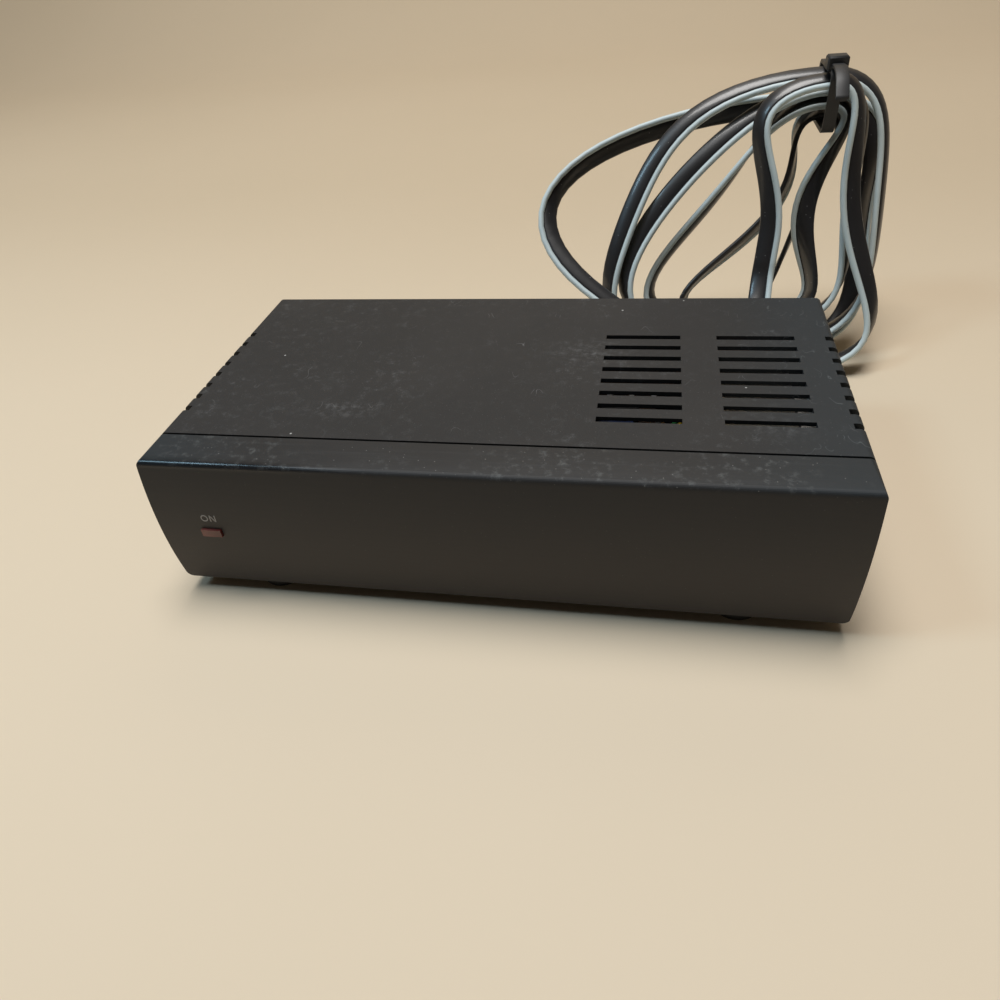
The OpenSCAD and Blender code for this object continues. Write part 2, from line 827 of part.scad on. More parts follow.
module circuit_board() color("#8a6a3a") difference() {
    block([board_x0, board_y0, board_z], [board_x1, board_y1, board_top]);
    for (at = board_spots)
        post([at[0], at[1], board_z - over], screw_r + fit, board_t + 2 * over);
}

module board_pillars() color("#b7a06a") for (at = board_spots) difference() {
    translate([at[0], at[1], floor_z]) cylinder(h = pillar_h, r = pillar_r, $fn = 6);
    post([at[0], at[1], floor_z + over], screw_r + close_fit, pillar_h);
}

module board_screws() color("#c4c2bd") for (at = board_spots) {
    post([at[0], at[1], board_top - board_screw_l], screw_r, board_screw_l);
    post([at[0], at[1], board_top], screw_head_r, screw_head_h);
}

// Radio stage: tinplate can, lid, coils and two threaded aerial sockets

module shield_can() color("#b4b3ad") difference() {
    block([can_x0, can_y0, board_top], [can_x1, can_y1, board_top + can_h]);
    block([can_x0 + can_t, can_y0 + can_t, board_top - over],
        [can_x1 - can_t, can_y1 - can_t, board_top + can_h + over]);
    for (x = socket_xs)
        rod_y([x, can_y1 - can_t - over, socket_z], stub_r + slide_fit, can_t + 2 * over);
}

module shield_lid() color("#bdbcb6") difference() {
    g = can_t + slide_fit;
    block([can_x0 - g, can_y0 - g, board_top + can_h - lid_drop],
        [can_x1 + g, can_y1, board_top + can_h + can_t]);
    block([can_x0 - slide_fit, can_y0 - slide_fit, board_top + can_h - lid_drop - over],
        [can_x1 + slide_fit, can_y1 + over, board_top + can_h]);
}

module radio_coils() color("#b5652c") for (i = [0:coil_count - 1]) {
    x = can_x0 + (can_x1 - can_x0) * (i + 1) / (coil_count + 1);
    translate([x, (can_y0 + can_y1) / 2, board_top]) {
        cylinder(h = coil_h, r = coil_r);
        cylinder(h = coil_h + coil_core_r, r = coil_core_r);
    }
}

module aerial_barrel(x) difference() {
    union() {
        rod_y([x, can_y1, socket_z], flange_r, flange_t);
        rod_y([x, can_y1, socket_z], shank_r, rear_y + socket_reach - can_y1);
        rod_y([x, barrel_y, socket_z], barrel_r, rear_y + socket_reach - barrel_y);
        rod_y([x, can_y1 - can_t - stub_l, socket_z], stub_r, can_t + stub_l + over);
    }
    rod_y([x, rear_y + socket_reach - bore_depth, socket_z], barrel_bore_r, bore_depth + over);
}

module aerial_socket() color("#c8c6c0") aerial_barrel(aerial_x);

module tv_socket() color("#c8c6c0") aerial_barrel(tv_x);

module socket_insulators() color("#e8e6df") for (x = socket_xs) difference() {
    y0 = rear_y + socket_reach - bore_depth;
    rod_y([x, y0, socket_z], barrel_bore_r - slide_fit, bore_depth - insulator_short);
    rod_y([x, y0 + over, socket_z], pin_hole_r, bore_depth);
}

module socket_nuts() color("#bfbdb7") for (x = socket_xs) difference() {
    y0 = wall_y + washer_t;
    translate([x, y0, socket_z]) rotate([-90, 0, 0]) cylinder(h = nut_t, r = nut_corners / 2, $fn = 6);
    rod_y([x, y0 - over, socket_z], barrel_r + close_fit, nut_t + 2 * over);
}

module socket_washers() color("#b3b1ab") for (x = socket_xs) difference() {
    rod_y([x, wall_y, socket_z], washer_r, washer_t);
    rod_y([x, wall_y - over, socket_z], barrel_r + slide_fit, washer_t + 2 * over);
}

// Sound and picture jacks

module jack_block() color("#1d1c1c") block(
    [jack_xs[0] - jack_side, jack_block_y - jack_block_d, board_top],
    [jack_xs[2] + jack_side, jack_block_y, board_top + jack_block_h]);

module jack_shells() color("#c9c8c3") for (x = jack_xs) difference() {
    union() {
        rod_y([x, jack_block_y, socket_z], jack_flange_r, jack_flange_t);
        rod_y([x, jack_block_y, socket_z], jack_r - jack_neck, rear_y + jack_reach - jack_block_y);
        rod_y([x, jack_barrel_y, socket_z], jack_r, rear_y + jack_reach - jack_barrel_y);
    }
    rod_y([x, jack_block_y - over, socket_z], jack_bore_r, cover_d);
}

module jack_insulator(x) difference() {
    y1 = rear_y + jack_reach - insulator_recess;
    rod_y([x, jack_block_y, socket_z], insulator_r, y1 - jack_block_y);
    rod_y([x, y1 - jack_hole_d, socket_z], jack_hole_r, jack_hole_d + over);
}

module video_insulator() color("#d9b62c") jack_insulator(jack_xs[0]);

module left_sound_insulator() color("#e6e4de") jack_insulator(jack_xs[1]);

module right_sound_insulator() color("#a82a24") jack_insulator(jack_xs[2]);

module jack_sleeves() color("#c2b280") for (x = jack_xs) difference() {
    y0 = rear_y + jack_reach - insulator_recess - jack_hole_d;
    outer_r = jack_hole_r - close_fit;
    rod_y([x, y0, socket_z], outer_r, sleeve_l);
    rod_y([x, y0 - over, socket_z], outer_r - jack_sleeve_t, sleeve_l + 2 * over);
}

// Channel switch: a slider in a steel frame behind the rear wall

plate_y = inner_y - plate_t;
switch_back_y = plate_y - switch_d;

module switch_frame() color("#bbb9b3") difference() {
    union() {
        block([switch_x - switch_plate_w / 2, plate_y, socket_z - switch_h / 2],
            [switch_x + switch_plate_w / 2, inner_y, socket_z + switch_h / 2]);
        block([switch_x - switch_box_w / 2, switch_back_y, socket_z - switch_h / 2],
            [switch_x + switch_box_w / 2, inner_y, socket_z + switch_h / 2]);
    }
    block(
        [switch_x - switch_box_w / 2 + switch_wall, switch_back_y - over,
            socket_z - switch_h / 2 + switch_wall],
        [switch_x + switch_box_w / 2 - switch_wall, plate_y, socket_z + switch_h / 2 - switch_wall]);
    knob_slot(plate_y - over, inner_y + over);
    for (x = switch_spots)
        rod_y([x, plate_y - over, socket_z], switch_screw_r + close_fit, plate_t + 2 * over);
}

module switch_base() color("#5b3d22") {
    y0 = switch_back_y - switch_base_t;
    block([switch_x - switch_box_w / 2, y0, socket_z - switch_h / 2],
        [switch_x + switch_box_w / 2, switch_back_y, socket_z + switch_h / 2]);
    for (i = [-1:1]) {
        x0 = switch_x + i * switch_pin_pitch - switch_pin_t / 2;
        block([x0, y0, board_top], [x0 + switch_pin_t, y0 + switch_base_t, socket_z]);
    }
}

module switch_knob() color("#171616") {
    y0 = switch_back_y + fit;
    y1 = plate_y - fit;
    block([knob_x - slider_w / 2, y0, socket_z - slider_h / 2],
        [knob_x + slider_w / 2, y1, socket_z + slider_h / 2]);
    block([knob_x - knob_w / 2, y0, socket_z - knob_h / 2],
        [knob_x + knob_w / 2, wall_y + knob_stand, socket_z + knob_h / 2]);
}

module switch_screws() color("#b9b8b4") for (x = switch_spots) {
    rod_y([x, wall_y, socket_z], switch_head_r, switch_head_h);
    rod_y([x, plate_y - sheet_t, socket_z], switch_screw_r, wall_y - plate_y + sheet_t);
}

// Mains transformer: laminated core, bobbin, windings and strap

module core_side() difference() {
    translate([core_y - core_l / 2, floor_z]) square([core_l, core_h]);
    for (side = [-1, 1])
        translate([core_y + side * (leg_w + window_w) / 2 - window_w / 2, floor_z + yoke_h])
            square([window_w, window_h]);
}

module transformer_core() color("#5d5f61")
    translate([core_x, 0, 0]) prism_x(core_t) core_side();

module bobbin_cut() block(
    [core_x - core_t / 2 - bobbin_fit, core_y - leg_w / 2 - bobbin_fit, floor_z],
    [core_x + core_t / 2 + bobbin_fit, core_y + leg_w / 2 + bobbin_fit, floor_z + core_h]);

bobbin_z = floor_z + yoke_h + bobbin_fit;
bobbin_top = floor_z + core_h - yoke_h - bobbin_fit;
bobbin_y = leg_w / 2 + window_w - bobbin_fit;
tube_x = core_t / 2 + bobbin_fit + bobbin_wall;
tube_y = leg_w / 2 + bobbin_fit + bobbin_wall;

module transformer_bobbin() color("#d8d4c8") difference() {
    union() {
        block([core_x - tube_x, core_y - tube_y, bobbin_z], [core_x + tube_x, core_y + tube_y, bobbin_top]);
        for (z = [bobbin_z, (bobbin_z + bobbin_top - bobbin_wall) / 2, bobbin_top - bobbin_wall])
            block([core_x - winding_x, core_y - bobbin_y, z],
                [core_x + winding_x, core_y + bobbin_y, z + bobbin_wall]);
    }
    bobbin_cut();
}

module transformer_windings() color("#b98a3a") {
    inset = bobbin_wall / 2;
    half = (bobbin_top - bobbin_z - 3 * bobbin_wall) / 2;
    for (z = [bobbin_z + bobbin_wall, bobbin_top - bobbin_wall - half]) difference() {
        block([core_x - winding_x + inset, core_y - bobbin_y + inset, z],
            [core_x + winding_x - inset, core_y + bobbin_y - inset, z + half]);
        block([core_x - tube_x, core_y - tube_y, z - over],
            [core_x + tube_x, core_y + tube_y, z + half + over]);
    }
}

module transformer_strap() color("#a8a7a2") difference() {
    x0 = core_x - strap_w / 2;
    x1 = core_x + strap_w / 2;
    half = core_l / 2;
    union() {
        block([x0, core_y - half - strap_t, floor_z],
            [x1, core_y + half + strap_t, floor_z + core_h + strap_t]);
        block([x0, core_y - half - strap_t - ear_l, floor_z],
            [x1, core_y + half + strap_t + ear_l, floor_z + strap_t]);
    }
    block([x0 - over, core_y - half, floor_z - over], [x1 + over, core_y + half, floor_z + core_h]);
    for (side = [-1, 1])
        post([core_x, core_y + side * ear_y, floor_z - over], ear_hole_r, strap_t + 2 * over);
}

module transformer_screws() color("#c4c2bd") for (side = [-1, 1]) {
    z = floor_z + strap_t;
    post([core_x, core_y + side * ear_y, z], screw_head_r, screw_head_h);
    post([core_x, core_y + side * ear_y, z - transformer_screw_l], screw_r, transformer_screw_l);
}

// Power supply on the board

module filter_capacitors() color("#22303f") for (x = filter_xs)
    post([x, filter_y, board_top], filter_r, filter_h);

module heat_sink() color("#9fa1a2") difference() {
    union() {
        block([sink_x - sink_w / 2, sink_y, board_top],
            [sink_x + sink_w / 2, sink_y + sink_t, board_top + sink_h]);
        for (i = [0:fin_count - 1]) {
            x0 = sink_x - sink_w / 2 + i * (sink_w - fin_t) / (fin_count - 1);
            block([x0, sink_y, board_top], [x0 + fin_t, sink_y + sink_t + fin_l, board_top + sink_h]);
        }
    }
    rod_y([regulator_x, sink_y - over, regulator_hole_z], screw_r + close_fit, sink_t + 2 * over);
}

regulator_x = sink_x + (sink_w - fin_t) / (fin_count - 1) / 2;
regulator_z = board_top + regulator_leg_h;
regulator_hole_z = regulator_z + regulator_tab_h - regulator_hole_from_top;

module voltage_regulator() color("#242424") difference() {
    union() {
        block([regulator_x - regulator_w / 2, sink_y - regulator_tab_t, regulator_z],
            [regulator_x + regulator_w / 2, sink_y, regulator_z + regulator_tab_h]);
        block([regulator_x - regulator_w / 2, sink_y - regulator_body_t, regulator_z],
            [regulator_x + regulator_w / 2, sink_y, regulator_z + regulator_body_h]);
        for (i = [-1:1]) {
            x0 = regulator_x + i * regulator_leg_pitch - regulator_leg_t / 2;
            y0 = sink_y - regulator_body_t / 2;
            block([x0, y0, board_top], [x0 + regulator_leg_t, y0 + regulator_leg_t, regulator_z]);
        }
    }
    rod_y([regulator_x, sink_y - regulator_body_t - over, regulator_hole_z], screw_r + slide_fit,
        regulator_body_t + 2 * over);
}

module regulator_screw() color("#c4c2bd") {
    y0 = sink_y - regulator_tab_t;
    rod_y([regulator_x, y0 - screw_head_h, regulator_hole_z], screw_head_r, screw_head_h);
    rod_y([regulator_x, y0, regulator_hole_z], screw_r, regulator_tab_t + sink_t + over);
}

module rectifier_diodes() color("#262626") for (i = [0:diode_count - 1]) {
    y = board_y0 + board_inset + i * diode_pitch;
    z = board_top + diode_r;
    rod_x([diode_x - diode_l / 2, y, z], diode_r, diode_l);
    rod_x([diode_x - diode_l / 2 - diode_lead_l, y, z], leg_r, diode_l + 2 * diode_lead_l);
    for (side = [-1, 1])
        post([diode_x + side * (diode_l / 2 + diode_lead_l), y, board_top], leg_r, diode_r);
}

module glass_fuse() color("#cfd4d2") {
    rod_x([fuse_x - fuse_l / 2, fuse_y, fuse_z], fuse_r, cap_l);
    rod_x([fuse_x + fuse_l / 2 - cap_l, fuse_y, fuse_z], fuse_r, cap_l);
    rod_x([fuse_x - (fuse_l - cap_l) / 2, fuse_y, fuse_z], fuse_r - slide_fit, fuse_l - cap_l);
}

module fuse_clips() color("#c0bfb9") for (side = [-1, 1]) {
    x0 = fuse_x + side * (fuse_l - cap_l) / 2 - clip_w / 2;
    difference() {
        block([x0, fuse_y - fuse_r - slide_fit - clip_t, board_top],
            [x0 + clip_w, fuse_y + fuse_r + slide_fit + clip_t, fuse_z + fuse_r / 2]);
        rod_x([x0 - over, fuse_y, fuse_z], fuse_r + slide_fit, clip_w + 2 * over);
        block([x0 - over, fuse_y - fuse_r - slide_fit, fuse_z],
            [x0 + clip_w + over, fuse_y + fuse_r + slide_fit, fuse_z + 2 * fuse_r]);
    }
}

// Small parts on the board

module modulator_chip() color("#1a1a1a") {
    block([chip_x - chip_w / 2, chip_y - chip_d / 2, board_top + chip_lift],
        [chip_x + chip_w / 2, chip_y + chip_d / 2, board_top + chip_lift + chip_h]);
    for (i = [0:chip_pins - 1], side = [-1, 1]) {
        x0 = chip_x + (i - (chip_pins - 1) / 2) * chip_pin_pitch - chip_pin_t / 2;
        y0 = chip_y + side * (chip_d / 2 + chip_pin_t / 2) - chip_pin_t / 2;
        block([x0, y0, board_top], [x0 + chip_pin_t, y0 + chip_pin_t, board_top + chip_lift + chip_h / 2]);
    }
}

module quartz_crystal() color("#c6c5c0") {
    r = crystal_d / 2;
    w = crystal_w / 2 - r;
    block([crystal_x - w, chip_y - r, board_top], [crystal_x + w, chip_y + r, board_top + crystal_h]);
    for (side = [-1, 1])
        post([crystal_x + side * w, chip_y, board_top], r, crystal_h);
}

module resistors() color("#c9a56b") for (i = [0:resistor_count - 1]) {
    x = crystal_x - resistor_start + i * resistor_pitch;
    y0 = board_y0 + board_inset;
    z = board_top + resistor_r;
    rod_y([x, y0, z], resistor_r, resistor_l);
    rod_y([x, y0 - resistor_lead_l, z], leg_r, resistor_l + 2 * resistor_lead_l);
    for (y = [y0 - resistor_lead_l, y0 + resistor_l + resistor_lead_l])
        post([x, y, board_top], leg_r, resistor_r);
}

module ceramic_capacitors() color("#c77b2e") for (i = [0:ceramic_count - 1]) {
    x = chip_x - chip_w / 2 + i * ceramic_pitch;
    y = chip_y + chip_d + ceramic_pitch;
    rod_x([x - ceramic_t / 2, y, board_top + ceramic_lift + ceramic_r], ceramic_r, ceramic_t);
    for (side = [-1, 1])
        post([x, y + side * ceramic_r / 2, board_top], leg_r, ceramic_lift + ceramic_r / 2);
}

module transistors() color("#202020") for (i = [0:transistor_count - 1]) {
    x = board_x0 + board_inset + transistor_pitch * (i + 1);
    y = chip_y;
    intersection() {
        post([x, y, board_top + transistor_lift], transistor_r, transistor_h);
        block([x - transistor_r, y - transistor_r / 2, board_top],
            [x + transistor_r, y + transistor_r, board_top + transistor_lift + transistor_h]);
    }
    for (leg = [-1:1])
        post([x + leg * (transistor_r - 2 * leg_r), y, board_top], leg_r, transistor_lift);
}

// Flat and round tubes swept along a row of points. Each ring has its middle, its direction,
// the direction of its width and that of its thickness.

function unit(v) = v / norm(v);
function direction(p, i) = unit(p[min(i + 1, len(p) - 1)] - p[max(i - 1, 0)]);
function across(ref, t) = unit(ref - (ref * t) * t);
function ring(p, t, ref, twist) =
    let (w0 = across(ref, t), w = cos(twist) * w0 + sin(twist) * cross(w0, t))
    [p, t, w, cross(t, w)];

function corner(g, c) = g[0] + c[0] * g[2] + c[1] * g[3];

function flat_six(w, t) =
    let (a = w / 2, b = (w - t) / 2, c = t / 2)
    [[a, 0], [b, c], [-b, c], [-a, 0], [-b, -c], [b, -c]];
function flat_eight(w, t) =
    let (a = w / 2, b = (w - t) / 2, c = t / 2, d = t / 5)
    [[a, -d], [a, d], [b, c], [-b, c], [-a, d], [-a, -d], [-b, -c], [b, -c]];
function round_section(r, n) = [for (i = [0:n - 1]) r * [cos(360 * i / n), sin(360 * i / n)]];

module sweep(rings, section) {
    n = len(section);
    last = (len(rings) - 1) * n;
    polyhedron(
        points = [for (g = rings, c = section) corner(g, c)],
        faces = concat(
            [for (i = [0:len(rings) - 2], a = [0:n - 1])
                let (b = (a + 1) % n) [i * n + a, (i + 1) * n + a, (i + 1) * n + b]],
            [for (i = [0:len(rings) - 2], a = [0:n - 1])
                let (b = (a + 1) % n) [i * n + a, (i + 1) * n + b, i * n + b]],
            [for (a = [1:n - 2]) [0, a, a + 1]],
            [for (a = [1:n - 2]) [last, last + a + 1, last + a]]
        )
    );
}

// A smooth curve through route points, with n steps between neighbours
function bend(a, b, c, d, t) =
    (2 * b + (c - a) * t + (2 * a - 5 * b + 4 * c - d) * t * t + (3 * b - a - 3 * c + d) * t * t * t) / 2;
function smooth(p, n) = concat(
    [for (i = [0:len(p) - 2], j = [0:n - 1])
        bend(p[max(i - 1, 0)], p[i], p[i + 1], p[min(i + 2, len(p) - 1)], j / n)],
    [p[len(p) - 1]]
);

// A round wire along a route whose first and last lengths are straight
module wire(route, r) {
    n = len(route) - 1;
    path = concat([route[0]], smooth([for (i = [1:n - 1]) route[i]], wire_steps), [route[n]]);
    m = len(path) - 1;
    sweep([for (i = [0:m])
        ring(path[i],
            i == 0 ? unit(route[1] - route[0]) :
                i == m ? unit(route[n] - route[n - 1]) : direction(path, i),
            wire_up, 0)], round_section(r, wire_sides));
}

// Wires from the lead to the fuse and the transformer, and from its windings to the board

module mains_wires() {
    r = wire_r;
    y0 = inner_y - relief_flange_t;
    strap_y = core_y + core_l / 2 + strap_t;
    over_z = floor_z + core_h + strap_t + 2 * r;
    edge_x = core_x - core_t / 2;
    fuse_end_x = fuse_x + (fuse_l - cap_l) / 2;
    clip_y = fuse_y + fuse_r + slide_fit + clip_t + fit + r;
    wound_x = core_x + winding_x - 4 * r;
    wound_y = core_y + bobbin_y;
    color("#e4e2da") wire([
        [relief_x - 2 * r, y0, relief_z],
        [relief_x - 2 * r, y0 - 2 * r, relief_z],
        [relief_x - 2 * r, y0 - 7 * r, relief_z + 3 * r],
        [core_x + 6 * r, strap_y + 4 * r, over_z - 8 * r],
        [core_x + 4 * r, strap_y + 2 * r, over_z - r],
        [core_x - 2 * r, strap_y - 2 * r, over_z],
        [edge_x, strap_y - 4 * r, over_z],
        [edge_x - 6 * r, strap_y - 3 * r, over_z - 4 * r],
        [edge_x - 11 * r, clip_y - r, over_z - 14 * r],
        [fuse_end_x + 2 * r, clip_y, fuse_z + 6 * r],
        [fuse_end_x, clip_y, board_top + 2 * r],
        [fuse_end_x, clip_y, board_top]
    ], r);
    color("#2a2a2c") wire([
        [relief_x + 2 * r, y0, relief_z],
        [relief_x + 2 * r, y0 - 2 * r, relief_z],
        [relief_x + 2 * r, y0 - 8 * r, relief_z],
        [wound_x + r, wound_y + 8 * r, bobbin_z + 8 * r],
        [wound_x, wound_y + 2 * r, bobbin_z + 5 * r],
        [wound_x, wound_y, bobbin_z + 5 * r]
    ], r);
}

module winding_wires() for (i = [0:2]) color(winding_wire_colours[i]) {
    r = thin_wire_r;
    x = core_x - winding_x;
    y = core_y + (i - 1) * winding_wire_pitch;
    end_x = board_x1 - 3 * r;
    wire([
        [x, y, bobbin_top - 6 * r],
        [x - 3 * r, y, bobbin_top - 6 * r],
        [x - 7 * r, y - 3 * r, bobbin_top - 12 * r],
        [end_x, y - 6 * r, board_top + 8 * r],
        [end_x, y - 6 * r, board_top + 3 * r],
        [end_x, y - 6 * r, board_top]
    ], r);
}

// Strain relief in the rear wall

module strain_relief() color("#171616") {
    rod_y([relief_x, inner_y - relief_flange_t, relief_z], relief_flange_r, relief_flange_t);
    rod_y([relief_x, inner_y - relief_flange_t, relief_z], relief_neck_r, sheet_t + 2 * relief_flange_t);
    rod_y([relief_x, wall_y, relief_z], relief_flange_r, relief_flange_t);
    translate([relief_x, wall_y + relief_flange_t, relief_z]) rotate([-90, 0, 0])
        cylinder(h = relief_l, r1 = relief_r, r2 = relief_end_r);
}

// Flat lead: a short free stretch, the tied hank and the tail

function hank_point(i, a) =
    let (
        top = hank_tops[floor(i / 2)],
        low = hank_lows[floor((i + 1) / 2)],
        s = hank_sides[i],
        side = i % 2 == 0 ? -1 : 1,
        t = (1 - cos(a)) / 2,
        x = top[0] + (low[0] - top[0]) * t
            + side * (s[0] * sin(a) - s[1] * sin(a) * cos(a) + s[2] * sin(3 * a)),
        z = top[1] + (low[1] - top[1]) * t,
        forward = top[2] + (low[2] - top[2]) * t + 2 * s[3] * t * sin(a) * sin(a)
    )
    [hank_x + x, hank_y + hank_lean * z - forward, z];
function hank_twist(i, a) =
    let (s = hank_sides[i], t = (1 - cos(a)) / 2)
    s[4] + (s[6] - s[4]) * t + (s[5] - (s[4] + s[6]) / 2) * sin(a) * sin(a);

// Each stop is a side of a turn and the angle along it, from 0 at the tie to 180 at the low
hank_stops = concat(
    [for (a = [hank_start:-hank_step:hank_step]) [0, a]],
    [for (i = [1:len(hank_sides) - 2], a = [0:hank_step:180 - hank_step])
        [i, i % 2 == 0 ? 180 - a : a]],
    [for (a = [0:hank_step:180]) [len(hank_sides) - 1, a]]
);
hank_body = [for (s = hank_stops) hank_point(s[0], s[1])];
hank_first = unit(hank_body[0] - hank_point(0, hank_start + 1));
hank_path = concat([hank_body[0] - lead_w * hank_first], hank_body,
    [hank_body[len(hank_body) - 1] - [lead_w, 0, 0]]);
hank_turn = concat([hank_twist(0, hank_start)], [for (s = hank_stops) hank_twist(s[0], s[1])],
    [hank_sides[len(hank_sides) - 1][6]]);
hank_rings = [for (i = [0:len(hank_path) - 1])
    ring(hank_path[i], i == 0 ? hank_first : direction(hank_path, i), [0, -1, 0], hank_turn[i])];

// Distance from the edge points of each ring to the flat lengths of all turns that pass it
function outside(q, size, s) = norm([for (k = [0:2]) max(abs(q * s[k]) - size[k] / 2, 0)]);
function turn_gap(g) = min([for (j = [0:len(g) - 2])
    let (
        middle = (g[j][0] + g[j + 1][0]) / 2,
        t = unit(g[j + 1][0] - g[j][0]),
        w = across(g[j][2] + g[j + 1][2], t),
        axes = [t, w, cross(t, w)],
        size = [norm(g[j + 1][0] - g[j][0]), lead_w, lead_t]
    )
    for (i = [0:len(g) - 1])
        if (abs(i - j) > gap_rings && norm(g[i][0] - middle) < gap_reach)
            for (c = flat_six(lead_w, lead_t))
                outside(corner(g[i], c) - middle, size, axes)
]);

module cord_hank() color("#2a2b2f") {
    echo(str("Least gap between the turns of the hank: ", turn_gap(hank_rings), " mm"));
    sweep(hank_rings, flat_six(lead_w, lead_t));
}

module cord_lead() color("#2a2b2f") {
    y0 = wall_y + relief_flange_t + relief_l;
    goal = hank_rings[0];
    start = [relief_x, y0, relief_z];
    path = concat([start],
        smooth(concat([for (p = lead_route) start + p], [goal[0] - lead_into_hank * goal[1], goal[0]]),
            cord_steps));
    n = len(path) - 1;
    w0 = across([1, 0, 0], goal[1]);
    twist = atan2(goal[2] * cross(w0, goal[1]), goal[2] * w0);
    sweep([for (i = [0:n])
        ring(path[i], i == 0 ? [0, 1, 0] : i == n ? goal[1] : direction(path, i), [1, 0, 0],
            twist * (1 - cos(180 * i / n)) / 2)], flat_eight(lead_w, lead_t));
}

// Tail and plug

tail_start = hank_path[len(hank_path) - 1];
plug_at = [case_w / 2 - plug_from_side, rear_y + plug_behind, plug_t / 2];
plug_end = plug_at + [plug_l, 0, 0];
tail_path = concat([tail_start],
    smooth(concat([for (p = tail_route) tail_start + p], [for (p = plug_route) plug_end + p]), cord_steps),
    [plug_end]);

module cord_tail() color("#2a2b2f") {
    n = len(tail_path) - 1;
    sweep([for (i = [0:n])
        ring(tail_path[i], i == 0 || i == n ? [-1, 0, 0] : direction(tail_path, i), [0, -1, 0], -180)],
        flat_eight(lead_w, lead_t));
}

plug_side = [
    [0, plug_w / 2 - plug_chamfer],
    [plug_chamfer, plug_w / 2],
    [plug_l - plug_neck_l, plug_w / 2],
    [plug_l - plug_collar_l, plug_neck_w / 2],
    [plug_l, plug_neck_w / 2]
];

module plug_body() color("#1b1b1d") translate(plug_at) difference() {
    translate([0, 0, -plug_t / 2]) linear_extrude(plug_t) polygon(concat(
        plug_side,
        [for (i = [len(plug_side) - 1:-1:0]) [plug_side[i][0], -plug_side[i][1]]]
    ));
    for (side = [-1, 1])
        block(
            [-over, side * blade_pitch / 2 - blade_t / 2 - close_fit, -blade_w / 2 - close_fit],
            [blade_root + close_fit, side * blade_pitch / 2 + blade_t / 2 + close_fit,
                blade_w / 2 + close_fit]);
}

module plug_blades() color("#c8b878") translate(plug_at) for (side = [-1, 1])
    block([-blade_l, side * blade_pitch / 2 - blade_t / 2, -blade_w / 2],
        [blade_root, side * blade_pitch / 2 + blade_t / 2, blade_w / 2]);

// Cable tie round the top of the hank

module rounded_rect(low, high, r) {
    translate([low[0] + r, low[1]]) square([high[0] - low[0] - 2 * r, high[1] - low[1]]);
    translate([low[0], low[1] + r]) square([high[0] - low[0], high[1] - low[1] - 2 * r]);
    for (y = [low[0] + r, high[0] - r], z = [low[1] + r, high[1] - r])
        translate([y, z]) circle(r);
}

// Points of the turns inside the band of the tie
function ring_at_top(k) = len([for (s = hank_stops) if (s[0] < 2 * k + 1) s]) + 1;
tied_points = [for (k = [0:len(hank_tops) - 1], a = [-2:1], c = flat_six(lead_w, lead_t), n = [0:tie_samples])
    let (
        i = ring_at_top(k) + a,
        p = corner(hank_rings[i], c),
        q = corner(hank_rings[i + 1], c),
        at = p + (q - p) * n / tie_samples
    )
    if (abs(at[0] - hank_x) < tie_w / 2 + fit) at];
tied_low = [min([for (p = tied_points) p[1]]), min([for (p = tied_points) p[2]])];
tied_high = [max([for (p = tied_points) p[1]]), max([for (p = tied_points) p[2]])];

module cable_tie() color("#17171a") {
    gap = [fit, fit] / 2;
    wall = [tie_t, tie_t];
    translate([hank_x, 0, 0]) prism_x(tie_w) difference() {
        rounded_rect(tied_low - gap - wall, tied_high + gap + wall, tie_r + tie_t);
        rounded_rect(tied_low - gap, tied_high + gap, tie_r);
    }
    head = [hank_x - tie_head[0] / 2, tied_low[0] + tie_r, tied_high[1] + gap[1] + tie_t / 2];
    block(head, head + tie_head);
    end = [for (p = tie_end_shares) [p[0] * tie_end_l, p[1] * tie_end_drop]];
    translate([hank_x, head[1], head[2] + 2 * tie_t]) prism_x(tie_w) polygon(concat(
        [[over, 0]], end,
        [for (i = [len(end) - 1:-1:0]) end[i] - [0, tie_t]],
        [[over, -tie_t]]
    ));
}

top_cover();
base_tray();
front_panel();
feet();
cover_screws();
panel_screws();
power_lamp();
lamp_clip();
lamp_leads();
circuit_board();
board_pillars();
board_screws();
shield_can();
shield_lid();
radio_coils();
aerial_socket();
tv_socket();
socket_insulators();
socket_nuts();
socket_washers();
jack_block();
jack_shells();
video_insulator();
left_sound_insulator();
right_sound_insulator();
jack_sleeves();
switch_frame();
switch_base();
switch_knob();
switch_screws();
transformer_core();
transformer_bobbin();
transformer_windings();
transformer_strap();
transformer_screws();
filter_capacitors();
heat_sink();
voltage_regulator();
regulator_screw();
rectifier_diodes();
glass_fuse();
fuse_clips();
mains_wires();
winding_wires();
modulator_chip();
quartz_crystal();
resistors();
ceramic_capacitors();
transistors();
strain_relief();
cord_lead();
cord_hank();
cord_tail();
cable_tie();
plug_body();
plug_blades();
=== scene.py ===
# %% [markdown]
# The object is a small video modulator: a folded steel cover over a steel tray, a moulded front
# panel with a power lamp, sockets on the rear wall, and a flat mains lead tied up behind it.
# All its rigid parts come packed as one frame, so none of them is placed by eye.
# %% The imported frame
import json
import math

import bpy
from mathutils import Matrix, Vector


